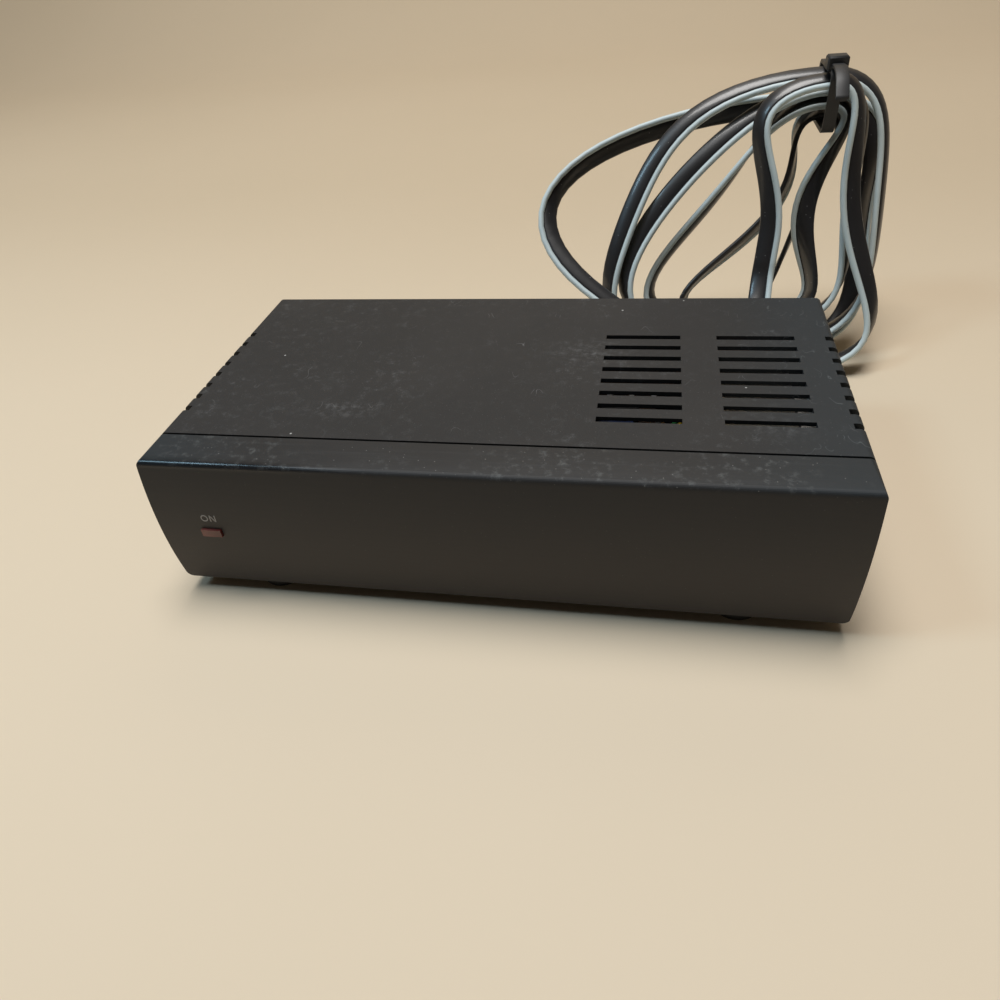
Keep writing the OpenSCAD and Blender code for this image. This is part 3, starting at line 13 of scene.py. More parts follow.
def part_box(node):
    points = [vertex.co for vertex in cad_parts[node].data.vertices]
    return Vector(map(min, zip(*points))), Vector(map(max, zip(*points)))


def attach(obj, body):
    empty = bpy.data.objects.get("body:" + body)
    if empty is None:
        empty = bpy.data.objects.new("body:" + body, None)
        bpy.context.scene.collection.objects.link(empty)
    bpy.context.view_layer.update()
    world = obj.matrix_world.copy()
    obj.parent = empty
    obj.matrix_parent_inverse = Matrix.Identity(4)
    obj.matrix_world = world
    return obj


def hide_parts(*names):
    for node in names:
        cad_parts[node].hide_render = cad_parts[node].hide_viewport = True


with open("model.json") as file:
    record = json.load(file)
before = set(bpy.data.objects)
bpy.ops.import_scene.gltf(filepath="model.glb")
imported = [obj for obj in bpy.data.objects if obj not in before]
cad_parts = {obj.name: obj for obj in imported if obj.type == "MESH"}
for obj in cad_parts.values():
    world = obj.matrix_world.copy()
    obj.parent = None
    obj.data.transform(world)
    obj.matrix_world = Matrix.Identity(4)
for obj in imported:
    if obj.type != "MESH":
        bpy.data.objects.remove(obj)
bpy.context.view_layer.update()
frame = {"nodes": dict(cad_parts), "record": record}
MM = 0.001


def node_box(node):
    """The two corners of a node's box, in millimetres."""
    return [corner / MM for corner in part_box(node)]


# %% [markdown]
# The photograph was taken from above the front edge with a wide lens held a little askew. A
# camera could be aimed with a Track To constraint, but that can't hold the slight roll. Two
# directions, the one it looks in and the one to its right, give the whole rotation.
# %% Camera
EYE = Vector((33.4, -160.975, 133.68)) * MM
LOOK = Vector((-0.18490799, 0.74513265, -0.64077013))
RIGHT = Vector((0.98158309, 0.17187484, -0.08338873))
SENSOR = 36
LENS = 26.345


def aimed(eye, look, right):
    back = -look.normalized()
    up = back.cross(right).normalized()
    turned = ((right[i], up[i], back[i], eye[i]) for i in range(3))
    return Matrix([*turned, (0, 0, 0, 1)])


camera_data = bpy.data.cameras.new("camera")
camera_data.sensor_width = SENSOR
camera_data.lens = LENS
camera_data.clip_start = 10 * MM
camera = bpy.data.objects.new("camera", camera_data)
bpy.context.scene.collection.objects.link(camera)
camera.matrix_world = aimed(EYE, LOOK, RIGHT)
bpy.context.scene.camera = camera
print("camera: lens", LENS, "mm")

# %% [markdown]
# Every new piece below is a mesh made from points and faces. One helper makes the object,
# smooths it with sharp edges kept, and rides it on the case. Its points are in millimetres, as a
# maker writes them, and the object stays at the origin, so that its shader coordinates are real
# places on the object.
# %% A helper for pieces
SHARP = math.radians(38)


def piece(name, points, faces, replaces=(), slot=None, sharp=SHARP):
    mesh = bpy.data.meshes.new(name)
    mesh.from_pydata([Vector(p) * MM for p in points], [], faces)
    mesh.validate()
    mesh.shade_smooth()
    mesh.set_sharp_from_angle(angle=sharp)
    made = bpy.data.objects.new(name, mesh)
    bpy.context.scene.collection.objects.link(made)
    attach(made, "case")
    if replaces:
        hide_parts(*replaces)
    print("piece:", name, len(points), "points")
    return made


def circle(steps, shift=0):
    """Cosine and sine at equal steps round a circle."""
    angles = (2 * math.pi * (i + shift) / steps for i in range(steps))
    return [(math.cos(a), math.sin(a)) for a in angles]


def joined(parts):
    points, faces = [], []
    for part_points, part_faces in parts:
        faces += [[i + len(points) for i in face] for face in part_faces]
        points += part_points
    return points, faces


def skin(rings, caps=True):
    """Faces between rings of points that all have the same count."""
    n = len(rings[0])
    points = [p for ring in rings for p in ring]
    faces = [
        [k * n + i, k * n + (i + 1) % n, (k + 1) * n + (i + 1) % n, (k + 1) * n + i]
        for k in range(len(rings) - 1)
        for i in range(n)
    ]
    if caps:
        faces += [list(range(n))[::-1], [(len(rings) - 1) * n + i for i in range(n)]]
    return points, faces


# %% [markdown]
# The lead is one flat ribbon: a dark web with a pale bead along one edge, and a fine groove
# between them where the two halves would be torn apart. It stands behind the case as a bundle of
# six turns in a tie. A curve with a bevel object would carry the section but not its twist, so
# the ribbon is swept ring by ring. The turns come from the same formula as the bundle's solid:
# each turn is two sides, from the tie down to the table, that bulge by sines.
# %% The bundle's turns
HANK_X = 85
HANK_Y = 76.275
HANK_LEAN = 0.4
HANK_START = 105
HANK_STEP = 5
# Where each turn passes the tie: from its middle, height, offset forward
HANK_TOPS = [[1, 81, 8.6], [0, 72, -10], [0, 81, 0], [0, 77.6, 0], [-0.5, 74.2, 0], [0.5, 70.8, -5]]
# Its lowest points, in the same order
HANK_LOWS = [
    [-13, 16, 8.6],
    [-9, 1.3, 9.4],
    [-11, 1.3, -4],
    [-13, 4.4, 0],
    [-21, 9.2, 0],
    [-19, 12.4, 0],
    [-39, 1.3, -14],
]
# Sides: bulge, how much is below the middle, squareness, forward, and twist at three places
HANK_SIDES = [
    [13, -12, 4.5, 0, -20, -55, -60],
    [20, 18, 5, 0, -20, -60, 0],
    [75, -34, -3.5, 7, 80, 40, 0],
    [27, 6, 4, -4, 80, 120, 0],
    [60, 10, 5, 5, -20, -55, 0],
    [29, 8, 3, 0, -20, -30, 0],
    [48, 18, 1, 2.5, -20, -55, 0],
    [25, 12, 4, 0, -20, -40, 0],
    [30, 18, 4, -4, -20, 36, 0],
    [12.5, 9, 6, 0, -20, -100, -180],
    [12.5, 17.5, 7, 0, -200, -140, -180],
    [20, 10.5, 2.5, -9, -200, -200, -180],
]
LEAD_W = 7.2


def hank_point(i, degrees):
    a = math.radians(degrees)
    top, low = HANK_TOPS[i // 2], HANK_LOWS[(i + 1) // 2]
    bulge, below, square, ahead = HANK_SIDES[i][:4]
    side = -1 if i % 2 == 0 else 1
    t = (1 - math.cos(a)) / 2
    across = bulge * math.sin(a) - below * math.sin(a) * math.cos(a) + square * math.sin(3 * a)
    x = top[0] + (low[0] - top[0]) * t + side * across
    z = top[1] + (low[1] - top[1]) * t
    forward = top[2] + (low[2] - top[2]) * t + 2 * ahead * t * math.sin(a) ** 2
    return Vector((HANK_X + x, HANK_Y + HANK_LEAN * z - forward, z))


def hank_twist(i, degrees):
    a = math.radians(degrees)
    at_tie, halfway, at_low = HANK_SIDES[i][4:]
    t = (1 - math.cos(a)) / 2
    return at_tie + (at_low - at_tie) * t + (halfway - (at_tie + at_low) / 2) * math.sin(a) ** 2


last_side = len(HANK_SIDES) - 1
hank_stops = [(0, a) for a in range(HANK_START, 0, -HANK_STEP)]
for side in range(1, last_side):
    hank_stops += [(side, 180 - a if side % 2 == 0 else a) for a in range(0, 180, HANK_STEP)]
hank_stops += [(last_side, a) for a in range(0, 181, HANK_STEP)]
hank_body = [hank_point(*stop) for stop in hank_stops]
hank_first = (hank_body[0] - hank_point(0, HANK_START + 1)).normalized()
hank_path = [hank_body[0] - LEAD_W * hank_first, *hank_body, hank_body[-1] - Vector((LEAD_W, 0, 0))]
hank_turn = [hank_twist(0, HANK_START), *(hank_twist(*stop) for stop in hank_stops), HANK_SIDES[-1][6]]
print("bundle:", len(hank_path), "rings")

# %% [markdown]
# Each ring needs to know which way the ribbon's width points. It starts square to a reference
# direction and is then turned by the twist, so that the ribbon can lie flat on the table, stand
# on edge, and show the same edge at the tie. The two free stretches, from the case to the bundle
# and from the bundle to the plug, are smooth curves through a few listed points.
# %% The whole path of the lead
LEAD_START = Vector((68, 59.675, 18))
LEAD_ROUTE = [(0, 4, 0), (0.4, 9, 1.2), (1.2, 14.5, 5)]
LEAD_INTO_HANK = 5
TAIL_ROUTE = [(-4, 0, 0), (-20, -1.5, 0), (-36, -6, 0)]
PLUG_ROUTE = [(28, 9.5, -4.1), (14, 2.6, -2.6), (4, 0, 0)]
PLUG_L = 26
PLUG_AT = Vector((-66, 68.675, 5.5))
PLUG_END = PLUG_AT + Vector((PLUG_L, 0, 0))
ROUTE_STEPS = 8


def smooth(points, steps):
    """A Catmull-Rom curve through the points, with that many steps between two of them."""
    held = [points[0], *points, points[-1]]
    out = []
    for a, b, c, d in zip(held, held[1:], held[2:], held[3:]):
        for i in range(steps):
            t = i / steps
            near = 2 * b + (c - a) * t
            far = (2 * a - 5 * b + 4 * c - d) * t**2 + (3 * b - a - 3 * c + d) * t**3
            out.append((near + far) / 2)
    return [*out, points[-1]]


def square_to(v, t):
    return (v - v.dot(t) * t).normalized()


def direction(path, i):
    return (path[min(i + 1, len(path) - 1)] - path[max(i - 1, 0)]).normalized()


def ring_axes(point, along, reference, twist):
    flat = square_to(Vector(reference), along)
    c, s = math.cos(math.radians(twist)), math.sin(math.radians(twist))
    width = c * flat + s * flat.cross(along)
    return point, width, along.cross(width)


hank_rings = [
    ring_axes(p, hank_first if i == 0 else direction(hank_path, i), (0, -1, 0), hank_turn[i])
    for i, p in enumerate(hank_path)
]
goal, goal_width = hank_rings[0][0], hank_rings[0][1]
into_hank = [goal - LEAD_INTO_HANK * hank_first]
lead_points = [LEAD_START + Vector(p) for p in LEAD_ROUTE] + into_hank
lead_path = [LEAD_START, *smooth([*lead_points, goal], ROUTE_STEPS)]
flat_goal = square_to(Vector((1, 0, 0)), hank_first)
upright_goal = flat_goal.cross(hank_first)
lead_twist = math.degrees(math.atan2(goal_width.dot(upright_goal), goal_width.dot(flat_goal)))
lead_rings = []
for i, p in enumerate(lead_path[:-1]):
    along = Vector((0, 1, 0)) if i == 0 else direction(lead_path, i)
    eased = lead_twist * (1 - math.cos(math.pi * i / (len(lead_path) - 1))) / 2
    lead_rings.append(ring_axes(p, along, (1, 0, 0), eased))

tail_start = hank_path[-1]
tail_points = [tail_start + Vector(p) for p in TAIL_ROUTE] + [PLUG_END + Vector(p) for p in PLUG_ROUTE]
tail_path = [tail_start, *smooth(tail_points, ROUTE_STEPS), PLUG_END]
tail_rings = []
for i, p in enumerate(tail_path[1:], 1):
    along = Vector((-1, 0, 0)) if p == PLUG_END else direction(tail_path, i)
    tail_rings.append(ring_axes(p, along, (0, -1, 0), HANK_SIDES[-1][6]))

ribbon_rings = lead_rings + hank_rings + tail_rings
ribbon_path = [ring[0] for ring in ribbon_rings]
ribbon_l = sum((b - a).length for a, b in zip(ribbon_path, ribbon_path[1:]))
headings = [direction(ribbon_path, i) for i in range(len(ribbon_path))]
sharpest = max(a.angle(b) for a, b in zip(headings, headings[1:]))
print("lead:", round(ribbon_l), "mm long, sharpest step", round(math.degrees(sharpest)), "degrees")

# %% [markdown]
# The ribbon's section is drawn once, in millimetres across and through the thickness: the round
# bead, the groove beside it, the flat web and its rounded far edge. The pale bead is extruded in
# its own colour on such leads, so its faces get a second material on the same mesh.
# %% The ribbon
BEAD_R = 0.95
BEAD_STEPS = 12
BEAD_OPEN = 38
GROOVE = (1.55, 0.42)
WEB_T = 0.82
WEB_SHOULDER = 1.15
EDGE_STEPS = 6
RIBBON_SHARP = math.radians(60)


def ribbon_section():
    bead_x = LEAD_W / 2 - BEAD_R
    section, is_bead = [], []
    for i in range(BEAD_STEPS + 1):
        a = math.radians(-180 + BEAD_OPEN + (360 - 2 * BEAD_OPEN) * i / BEAD_STEPS)
        section.append((bead_x + BEAD_R * math.cos(a), BEAD_R * math.sin(a)))
        is_bead.append(i < BEAD_STEPS)
    edge_x = WEB_T - LEAD_W / 2
    section += [GROOVE, (WEB_SHOULDER, WEB_T)]
    for i in range(EDGE_STEPS + 1):
        a = math.pi / 2 + math.pi * i / EDGE_STEPS
        section.append((edge_x + WEB_T * math.cos(a), WEB_T * math.sin(a)))
    section += [(WEB_SHOULDER, -WEB_T), (GROOVE[0], -GROOVE[1])]
    is_bead += [False] * (len(section) - len(is_bead))
    return section, is_bead


section, is_bead = ribbon_section()
rings = [[p + u * w + v * f for u, v in section] for p, w, f in ribbon_rings]
flat_lead = piece(
    "flat_lead",
    *skin(rings),
    replaces=["cord_lead", "cord_hank", "cord_tail"],
    slot="cord_sheath",
    sharp=RIBBON_SHARP,
)
for face in flat_lead.data.polygons:
    if len(face.vertices) == 4:
        face.material_index = int(is_bead[face.index % len(section)])
print("ribbon:", len(flat_lead.data.polygons), "faces")

# %% [markdown]
# A nylon tie holds the turns together over their tops. It is a band with rounded corners, a
# bevelled block for its head, and a loose end that hangs forward and has fine teeth underneath.
# The band's place is the tie's own box in the frame.
# %% Cable tie
TIE_W = 3.6
TIE_T = 1.1
TIE_CORNER = 2.7
TIE_CORNER_STEPS = 6
TIE_HEAD = (6, 5, 4)
TIE_END = [(0, 0), (-0.36, 0), (-0.7, -0.33), (-1, -1)]
TIE_END_L = 14
TIE_END_DROP = 6
TIE_END_STEPS = 12
TIE_TIP_SHARE = 0.55
TIE_RIM = 0.05
TIE_ROUND = 0.2
TIE_ROUND_SHARE = 0.8
TIE_HEAD_BEVEL = 0.5
TOOTH_DEPTH = 0.18

tie_low, tie_high = node_box("cable_tie")
# The band ends where the head's block starts, a corner's inner radius behind its front
band_top = tie_high.z - TIE_HEAD[2] + TIE_T / 2
band_high = Vector((0, tie_high.y, band_top))
band_low = Vector((0, tie_low.y + TIE_END_L - (TIE_CORNER - TIE_T) - TIE_T, tie_low.z))


def rounded_loop(low, high, corner, steps):
    loop = []
    corners = [(high.y, high.z), (low.y, high.z), (low.y, low.z), (high.y, low.z)]
    for k, (y, z) in enumerate(corners):
        centre_y = y - corner if k in (0, 3) else y + corner
        centre_z = z - corner if k in (0, 1) else z + corner
        for i in range(steps + 1):
            a = math.pi / 2 * (k + i / steps)
            loop.append((centre_y + corner * math.cos(a), centre_z + corner * math.sin(a)))
    return loop


def tie_band():
    grow = Vector((0, TIE_T, TIE_T))
    outer = rounded_loop(band_low, band_high, TIE_CORNER, TIE_CORNER_STEPS)
    inner = rounded_loop(band_low + grow, band_high - grow, TIE_CORNER - TIE_T, TIE_CORNER_STEPS)
    half = TIE_W / 2
    rim = half - TIE_RIM
    sides = ((-rim, inner), (-half, outer), (half, outer), (rim, inner))
    rings = [[(HANK_X + x, y, z) for y, z in loop] for x, loop in sides]
    return skin([*rings, rings[0]], caps=False)


def bevelled_block(low, high, bevel):
    """A block with all its edges bevelled: each of its corners is a small triangle."""
    signs = [(x, y, z) for x in (0, 1) for y in (0, 1) for z in (0, 1)]
    points = []
    for corner in signs:
        at = [(low, high)[s][i] for i, s in enumerate(corner)]
        inward = [bevel if s == 0 else -bevel for s in corner]
        points += [[at[i] + (0 if i == keep else inward[i]) for i in range(3)] for keep in range(3)]

    def index(places, axis):
        x, y, z = (places[k] for k in range(3))
        return (x * 4 + y * 2 + z) * 3 + axis

    faces = [[index(corner, axis) for axis in range(3)] for corner in signs]
    for axis in range(3):
        u, v = (k for k in range(3) if k != axis)
        around = [{u: a, v: b} for a, b in ((0, 0), (1, 0), (1, 1), (0, 1))]
        for s in (0, 1):
            faces.append([index({axis: s, **places}, axis) for places in around])
        for a in (0, 1):
            for b in (0, 1):
                start, end = {axis: 0, u: a, v: b}, {axis: 1, u: a, v: b}
                faces.append([index(start, u), index(start, v), index(end, v), index(end, u)])
    return points, faces


def tie_tail():
    head_y, head_z = band_low.y + TIE_CORNER, tie_high.z - TIE_HEAD[2]
    start = Vector((HANK_X, head_y, head_z + 2 * TIE_T))
    knots = [start + Vector((0, y * TIE_END_L, z * TIE_END_DROP)) for y, z in TIE_END]
    path = smooth(knots, TIE_END_STEPS)
    rings = []
    for i, p in enumerate(path):
        tooth = TOOTH_DEPTH * (i % 2)
        half = TIE_W / 2 * (TIE_TIP_SHARE if i == len(path) - 1 else 1)
        flat = half * TIE_ROUND_SHARE
        top = [(-half, -TIE_ROUND), (-flat, 0), (flat, 0), (half, -TIE_ROUND)]
        under = [(half, TIE_ROUND), (flat, tooth), (-flat, tooth), (-half, TIE_ROUND)]
        section = top + [(x, z - TIE_T) for x, z in under]
        rings.append([p + Vector((x, 0, z)) for x, z in section])
    return skin(rings)


def tie_head():
    low = Vector((HANK_X - TIE_HEAD[0] / 2, band_low.y + TIE_CORNER, tie_high.z - TIE_HEAD[2]))
    return bevelled_block(low, low + Vector(TIE_HEAD), TIE_HEAD_BEVEL)


nylon_tie = piece(
    "nylon_tie",
    *joined([tie_band(), tie_head(), tie_tail()]),
    replaces=["cable_tie"],
    slot="black_plastic",
)

# %% [markdown]
# The plug is moulded round the end of the lead: a flat body with rounded edges, finger grooves
# across its shoulders, and a collar where the lead goes in. A subdivided box would lose its size,
# so the body is swept along its length by a table of widths, with a squared-off oval section.
# %% Plug
PLUG_W = 22
PLUG_T = 11
PLUG_NECK_W = 12
PLUG_NECK_L = 9
PLUG_COLLAR_L = 2
GRIP_FIRST = 5
GRIP_LAST = 15
GRIP_PITCH = 2.5
GRIP_DEPTH = 0.45
PLUG_SECTION_STEPS = 40
PLUG_SQUARE = 0.32
PLUG_EDGE = 1
PLUG_EDGE_STOPS = [0, 0.15, 0.5, 1]
PLUG_NECK_STOPS = [0.6, 0.15, 0]
PLUG_STEP = 0.5
PLUG_SHARP = math.radians(50)


def squared_oval(width, height):
    def squared(value):
        return math.copysign(abs(value) ** PLUG_SQUARE, value) / 2

    return [(squared(c) * width, squared(s) * height) for c, s in circle(PLUG_SECTION_STEPS)]


def plug_width(x):
    shoulder = PLUG_L - PLUG_NECK_L
    if x <= shoulder:
        return PLUG_W
    t = min((x - shoulder) / (PLUG_NECK_L - PLUG_COLLAR_L), 1)
    return PLUG_W + (PLUG_NECK_W - PLUG_W) * (3 * t**2 - 2 * t**3)


def plug_rings():
    middle = int((PLUG_L - 2 * PLUG_EDGE) / PLUG_STEP)
    stations = PLUG_EDGE_STOPS + [PLUG_EDGE + PLUG_STEP * i for i in range(1, middle)]
    stations += [PLUG_L - stop for stop in PLUG_NECK_STOPS]
    out = []
    for x in stations:
        edge = min(x, PLUG_L - x, PLUG_EDGE)
        inset = PLUG_EDGE - math.sqrt(max(PLUG_EDGE**2 - (PLUG_EDGE - edge) ** 2, 0))
        grip = 0
        if GRIP_FIRST < x < GRIP_LAST:
            grip = GRIP_DEPTH * (1 - math.cos(2 * math.pi * (x - GRIP_FIRST) / GRIP_PITCH)) / 2
        loop = squared_oval(plug_width(x) - 2 * (inset + grip), PLUG_T - 2 * inset)
        out.append([PLUG_AT + Vector((x, y, z)) for y, z in loop])
    return out


plug = piece(
    "moulded_plug",
    *skin(plug_rings()),
    replaces=["plug_body"],
    slot="black_plastic",
    sharp=PLUG_SHARP,
)

# %% [markdown]
# Where the lead leaves the rear wall it is held by a rubber sleeve. Real ones are cut by slots
# that let the sleeve bend a little at each ring, so the sleeve is turned from a profile with a
# row of ribs, and clamped to the wall by two flanges.
# %% Strain relief
RELIEF_FLANGE_R = 7
RELIEF_FLANGE_T = 2
# Rounded edges as radius and distance from the end: of the inner flange, then of the outer one
RELIEF_INNER_EDGE = [(6.4, 0), (7, 0.5)]
RELIEF_OUTER_EDGE = [(7, 0.7), (6.8, 0.2), (6.3, 0), (5.4, 0)]
RELIEF_NECK_R = 5
RELIEF_WALL_T = 1
RELIEF_R = 5.4
RELIEF_TAPER = 1.2
RELIEF_TIP = [(4.35, 0.9), (4.2, 0.3), (3.9, 0)]
RIB_COUNT = 7
RIB_FIRST = 1
RIB_MARGIN = 3
# One rib's groove: how far below the sleeve's surface, and how far along it
RIB_GROOVE = [(0, 0), (0.9, 0.15), (0.9, 0.95), (0.05, 1.1)]
TURN_STEPS = 40


def turned(profile, x, z):
    """A solid turned about a line along Y. The profile is a list of radius and y."""
    around = circle(TURN_STEPS)
    return skin([[(x + r * c, y, z - r * s) for c, s in around] for r, y in profile])


def relief_profile():
    low, high = node_box("strain_relief")
    wall_in, tip = low.y + RELIEF_FLANGE_T, high.y
    wall_out = wall_in + RELIEF_WALL_T
    end = wall_out + RELIEF_FLANGE_T
    flange, neck = RELIEF_FLANGE_R, RELIEF_NECK_R
    profile = [(r, low.y + back) for r, back in RELIEF_INNER_EDGE]
    profile += [(flange, wall_in), (neck, wall_in), (neck, wall_out), (flange, wall_out)]
    profile += [(r, end - back) for r, back in RELIEF_OUTER_EDGE]
    pitch = (tip - end - RIB_MARGIN) / RIB_COUNT
    for i in range(RIB_COUNT):
        y = end + RIB_FIRST + i * pitch
        r = RELIEF_R - RELIEF_TAPER * (y - end) / (tip - end)
        profile += [(r - deep, y + along) for deep, along in RIB_GROOVE]
    return profile + [(r, tip - back) for r, back in RELIEF_TIP]


ribbed_relief = piece(
    "ribbed_relief",
    *turned(relief_profile(), LEAD_START.x, LEAD_START.z),
    replaces=["strain_relief"],
    slot="rubber",
)

# %% [markdown]
# The plug's two blades are folded brass strip with rounded tips and a hole near the end. The
# outline and the hole are two loops of points at the same angles round the hole's centre, so
# plain strips of faces join them and no boolean is needed.
# %% Plug blades
BLADE_L = 17.5
BLADE_ROOT = 3
BLADE_W = 6.4
BLADE_T = 1.5
BLADE_PITCH = 12.7
BLADE_HOLE_R = 1.6
BLADE_HOLE_FROM_TIP = 4.2
BLADE_STEPS = 72
BLADE_EDGE = 0.3
BLADE_SHARP = math.radians(30)
# Keeps a division away from zero
TINY = 1e-6


def blade(side):
    centre = PLUG_AT + Vector((-BLADE_L + BLADE_HOLE_FROM_TIP, side * BLADE_PITCH / 2, 0))
    tip, half = BLADE_HOLE_FROM_TIP, BLADE_W / 2
    root = BLADE_L + BLADE_ROOT - tip

    def loop(inset, y, hole):
        ring = []
        for c, s in circle(BLADE_STEPS, shift=0.5):
            reach = (root if c > 0 else tip) / max(abs(c), TINY)
            r = BLADE_HOLE_R + inset if hole else min(reach, half / max(abs(s), TINY)) - inset
            ring.append(centre + Vector((r * c, y, r * s)))
        return ring

    out, flat = BLADE_T / 2, BLADE_T / 2 - BLADE_EDGE
    across = [(BLADE_EDGE, -out), (0, -flat), (0, flat), (BLADE_EDGE, out)]
    loops = [loop(inset, y, False) for inset, y in across]
    loops += [loop(inset, y, True) for inset, y in reversed(across)]
    return skin([*loops, loops[0]], caps=False)


blades = piece(
    "brass_blades",
    *joined([blade(-1), blade(1)]),
    replaces=["plug_blades"],
    slot="brass",
    sharp=BLADE_SHARP,
)

# %% [markdown]
# With its plug, tie and sleeve made, the lead's path is worked out in metres: it leaves the
# sleeve, is coiled up behind the case and ends in the plug. Where it starts and ends is printed.
# %% The lead's path
[tuple(p * MM) for p in ribbon_path]
print("cord: from", tuple(LEAD_START), "to the plug at", tuple(PLUG_END))

# %% [markdown]
# The screws that show are pan heads with a cross recess. A head is a stack of rings: a rim, a
# low dome, then the outline of the cross at the top and again at the bottom of the recess. The
# outline has a point at each of the rings' angles, so the same strips of faces make the cross.
# %% Screws
HEAD_STEPS = 48
# Shares of a head's radius and height, from its rim to its flat top
HEAD_SHARES = [(1, 0), (1, 0.45), (0.93, 0.78), (0.84, 0.93), (0.72, 1)]
# The recess: shares of the cross's size and of the head's height
RECESS_SHARES = [(1, 1), (0.55, 0.38)]
CROSS_L_SHARE = 0.58
CROSS_W_SHARE = 0.15
# Radius and height of the head, and radius of the shank
BIG_SCREW = (2.8, 1.6, 1.4)
PANEL_SCREW = (2.8, 1.6, 1.5)
SMALL_SCREW = (2.1, 1.2, 1.1)
COVER_SHANK_L = 2.6


def cross_reach(c, s):
    """How far a unit cross reaches in a direction: to the end of an arm, or to its side."""
    small, big = sorted((abs(c), abs(s)))
    return min(CROSS_L_SHARE / big, CROSS_W_SHARE / max(small, TINY))


def pan_screw(at, out, shank_l, sizes):
    """A screw whose head sits at a point on the sheet, and faces outwards."""
    head_r, head_h, shank_r = sizes
    out = Vector(out)
    u = out.orthogonal().normalized()
    v = out.cross(u)
    around = circle(HEAD_STEPS)
    levels = [(shank_r, -shank_l), (shank_r, 0)]
    levels += [(head_r * r, head_h * h) for r, h in HEAD_SHARES]
    rings = [[level] * HEAD_STEPS for level in levels]
    for size, level in RECESS_SHARES:
        rings.append([(head_r * size * cross_reach(c, s), head_h * level) for c, s in around])
    return skin([
        [Vector(at) + out * h + r * (u * c + v * s) for (r, h), (c, s) in zip(ring, around)]
        for ring in rings
    ])


def screw_row(name, node, spots, sizes, slot):
    low, high = node_box(node)
    parts = [pan_screw(*spot, sizes) for spot in spots(low, high, sizes[0], sizes[1])]
    return piece(name, *joined(parts), replaces=[node], slot=slot)


def cover_spots(low, high, head_r, head_h):
    for side in (-1, 1):
        for y in (low.y + head_r, high.y - head_r):
            yield (side * (high.x - head_h), y, (low.z + high.z) / 2), (side, 0, 0), COVER_SHANK_L


def panel_spots(low, high, head_r, head_h):
    for x in (low.x + head_r, high.x - head_r):
        yield (x, (low.y + high.y) / 2, low.z + head_h), (0, 0, -1), high.z - low.z - head_h


def switch_spots(low, high, head_r, head_h):
    for x in (low.x + head_r, high.x - head_r):
        yield (x, high.y - head_h, (low.z + high.z) / 2), (0, 1, 0), high.y - low.y - head_h


cover_screws = screw_row("cover_pan_screws", "cover_screws", cover_spots, BIG_SCREW, "black_screw")
panel_screws = screw_row("panel_pan_screws", "panel_screws", panel_spots, PANEL_SCREW, "zinc")
switch_screws = screw_row("switch_pan_screws", "switch_screws", switch_spots, SMALL_SCREW, "zinc")

# %% [markdown]
# Aerial plugs screw on, so both aerial sockets carry a fine thread. It is a real helix: each
# ring of the turned barrel is cut by a depth that depends on its height and on the angle.
# %% Threaded aerial sockets
THREAD_PITCH = 0.8
THREAD_DEPTH = 0.3
THREAD_RINGS = 6
THREAD_R = 4.76
BARREL_L = 6.6
BARREL_R = 4.5
BORE_R = 3.4
BORE_L = 8
SHANK_R = 3
COLLAR_R = 6.2
COLLAR_T = 1.2
# The rounded tip: radius, and how far behind the end of the barrel
SOCKET_TIP = [(4.6, 0.35), (4.3, 0), (3.7, 0), (BORE_R, 0.3), (BORE_R, BORE_L)]
THREAD_START = 0.02
THREAD_END = 0.7
SOCKET_SHARP = math.radians(50)


def threaded_socket(node):
    low, high = node_box(node)
    x, z = (low.x + high.x) / 2, (low.z + high.z) / 2
    tip, barrel_from = high.y, high.y - BARREL_L
    collar = node_box("shield_can")[1].y
    levels = [(SHANK_R, low.y, 0), (SHANK_R, collar, 0), (COLLAR_R, collar, 0)]
    levels += [(COLLAR_R, collar + COLLAR_T, 0), (BARREL_R, collar + COLLAR_T, 0)]
    levels += [(BARREL_R, barrel_from, 0)]
    levels += [(BARREL_R - 2 * THREAD_START, barrel_from + THREAD_START / 2, 0)]
    count = round((BARREL_L - THREAD_END) / THREAD_PITCH * THREAD_RINGS)
    for i in range(count + 1):
        fade = min(i / THREAD_RINGS, (count - i) / THREAD_RINGS, 1)
        levels.append((THREAD_R, barrel_from + THREAD_START + i * THREAD_PITCH / THREAD_RINGS, fade))
    levels += [(r, tip - back, 0) for r, back in SOCKET_TIP]
    rings = []
    for r, y, cut in levels:
        ring = []
        for i, (c, s) in enumerate(circle(TURN_STEPS)):
            phase = (y / THREAD_PITCH - i / TURN_STEPS) % 1
            deep = r - cut * THREAD_DEPTH * 2 * min(phase, 1 - phase)
            ring.append((x + deep * c, y, z - deep * s))
        rings.append(ring)
    return skin(rings)


sockets = [
    piece(name, *threaded_socket(node), replaces=[node], slot="nickel", sharp=SOCKET_SHARP)
    for name, node in (("threaded_aerial_socket", "aerial_socket"), ("threaded_tv_socket", "tv_socket"))
]

# %% [markdown]
# Over the lamp the word ON is printed on the panel in small grey capitals. The face is bowed,
# so each point of the print is put on the face's own arc. A text object would be quicker, but
# its font could change from one machine to the next.
# %% The word over the lamp
FACE_R = 99.2
FACE_MIDDLE = Vector((0, 52.125, 19.4))
PRINT_T = 0.03
WORD_LOW, WORD_HIGH = 24.45, 26.3
WORD_LEFT, WORD_RIGHT = -67.9, -64.1
STROKE = 0.25
LETTER_GAP = 0.45
LETTER_STEPS = 32
SLANT_SHARE = 1.25
O_SHARE = 0.54


def on_face(x, z, lift=PRINT_T):
    y = FACE_MIDDLE.y - math.sqrt(FACE_R**2 - (z - FACE_MIDDLE.z) ** 2)
    return x, y - lift, z


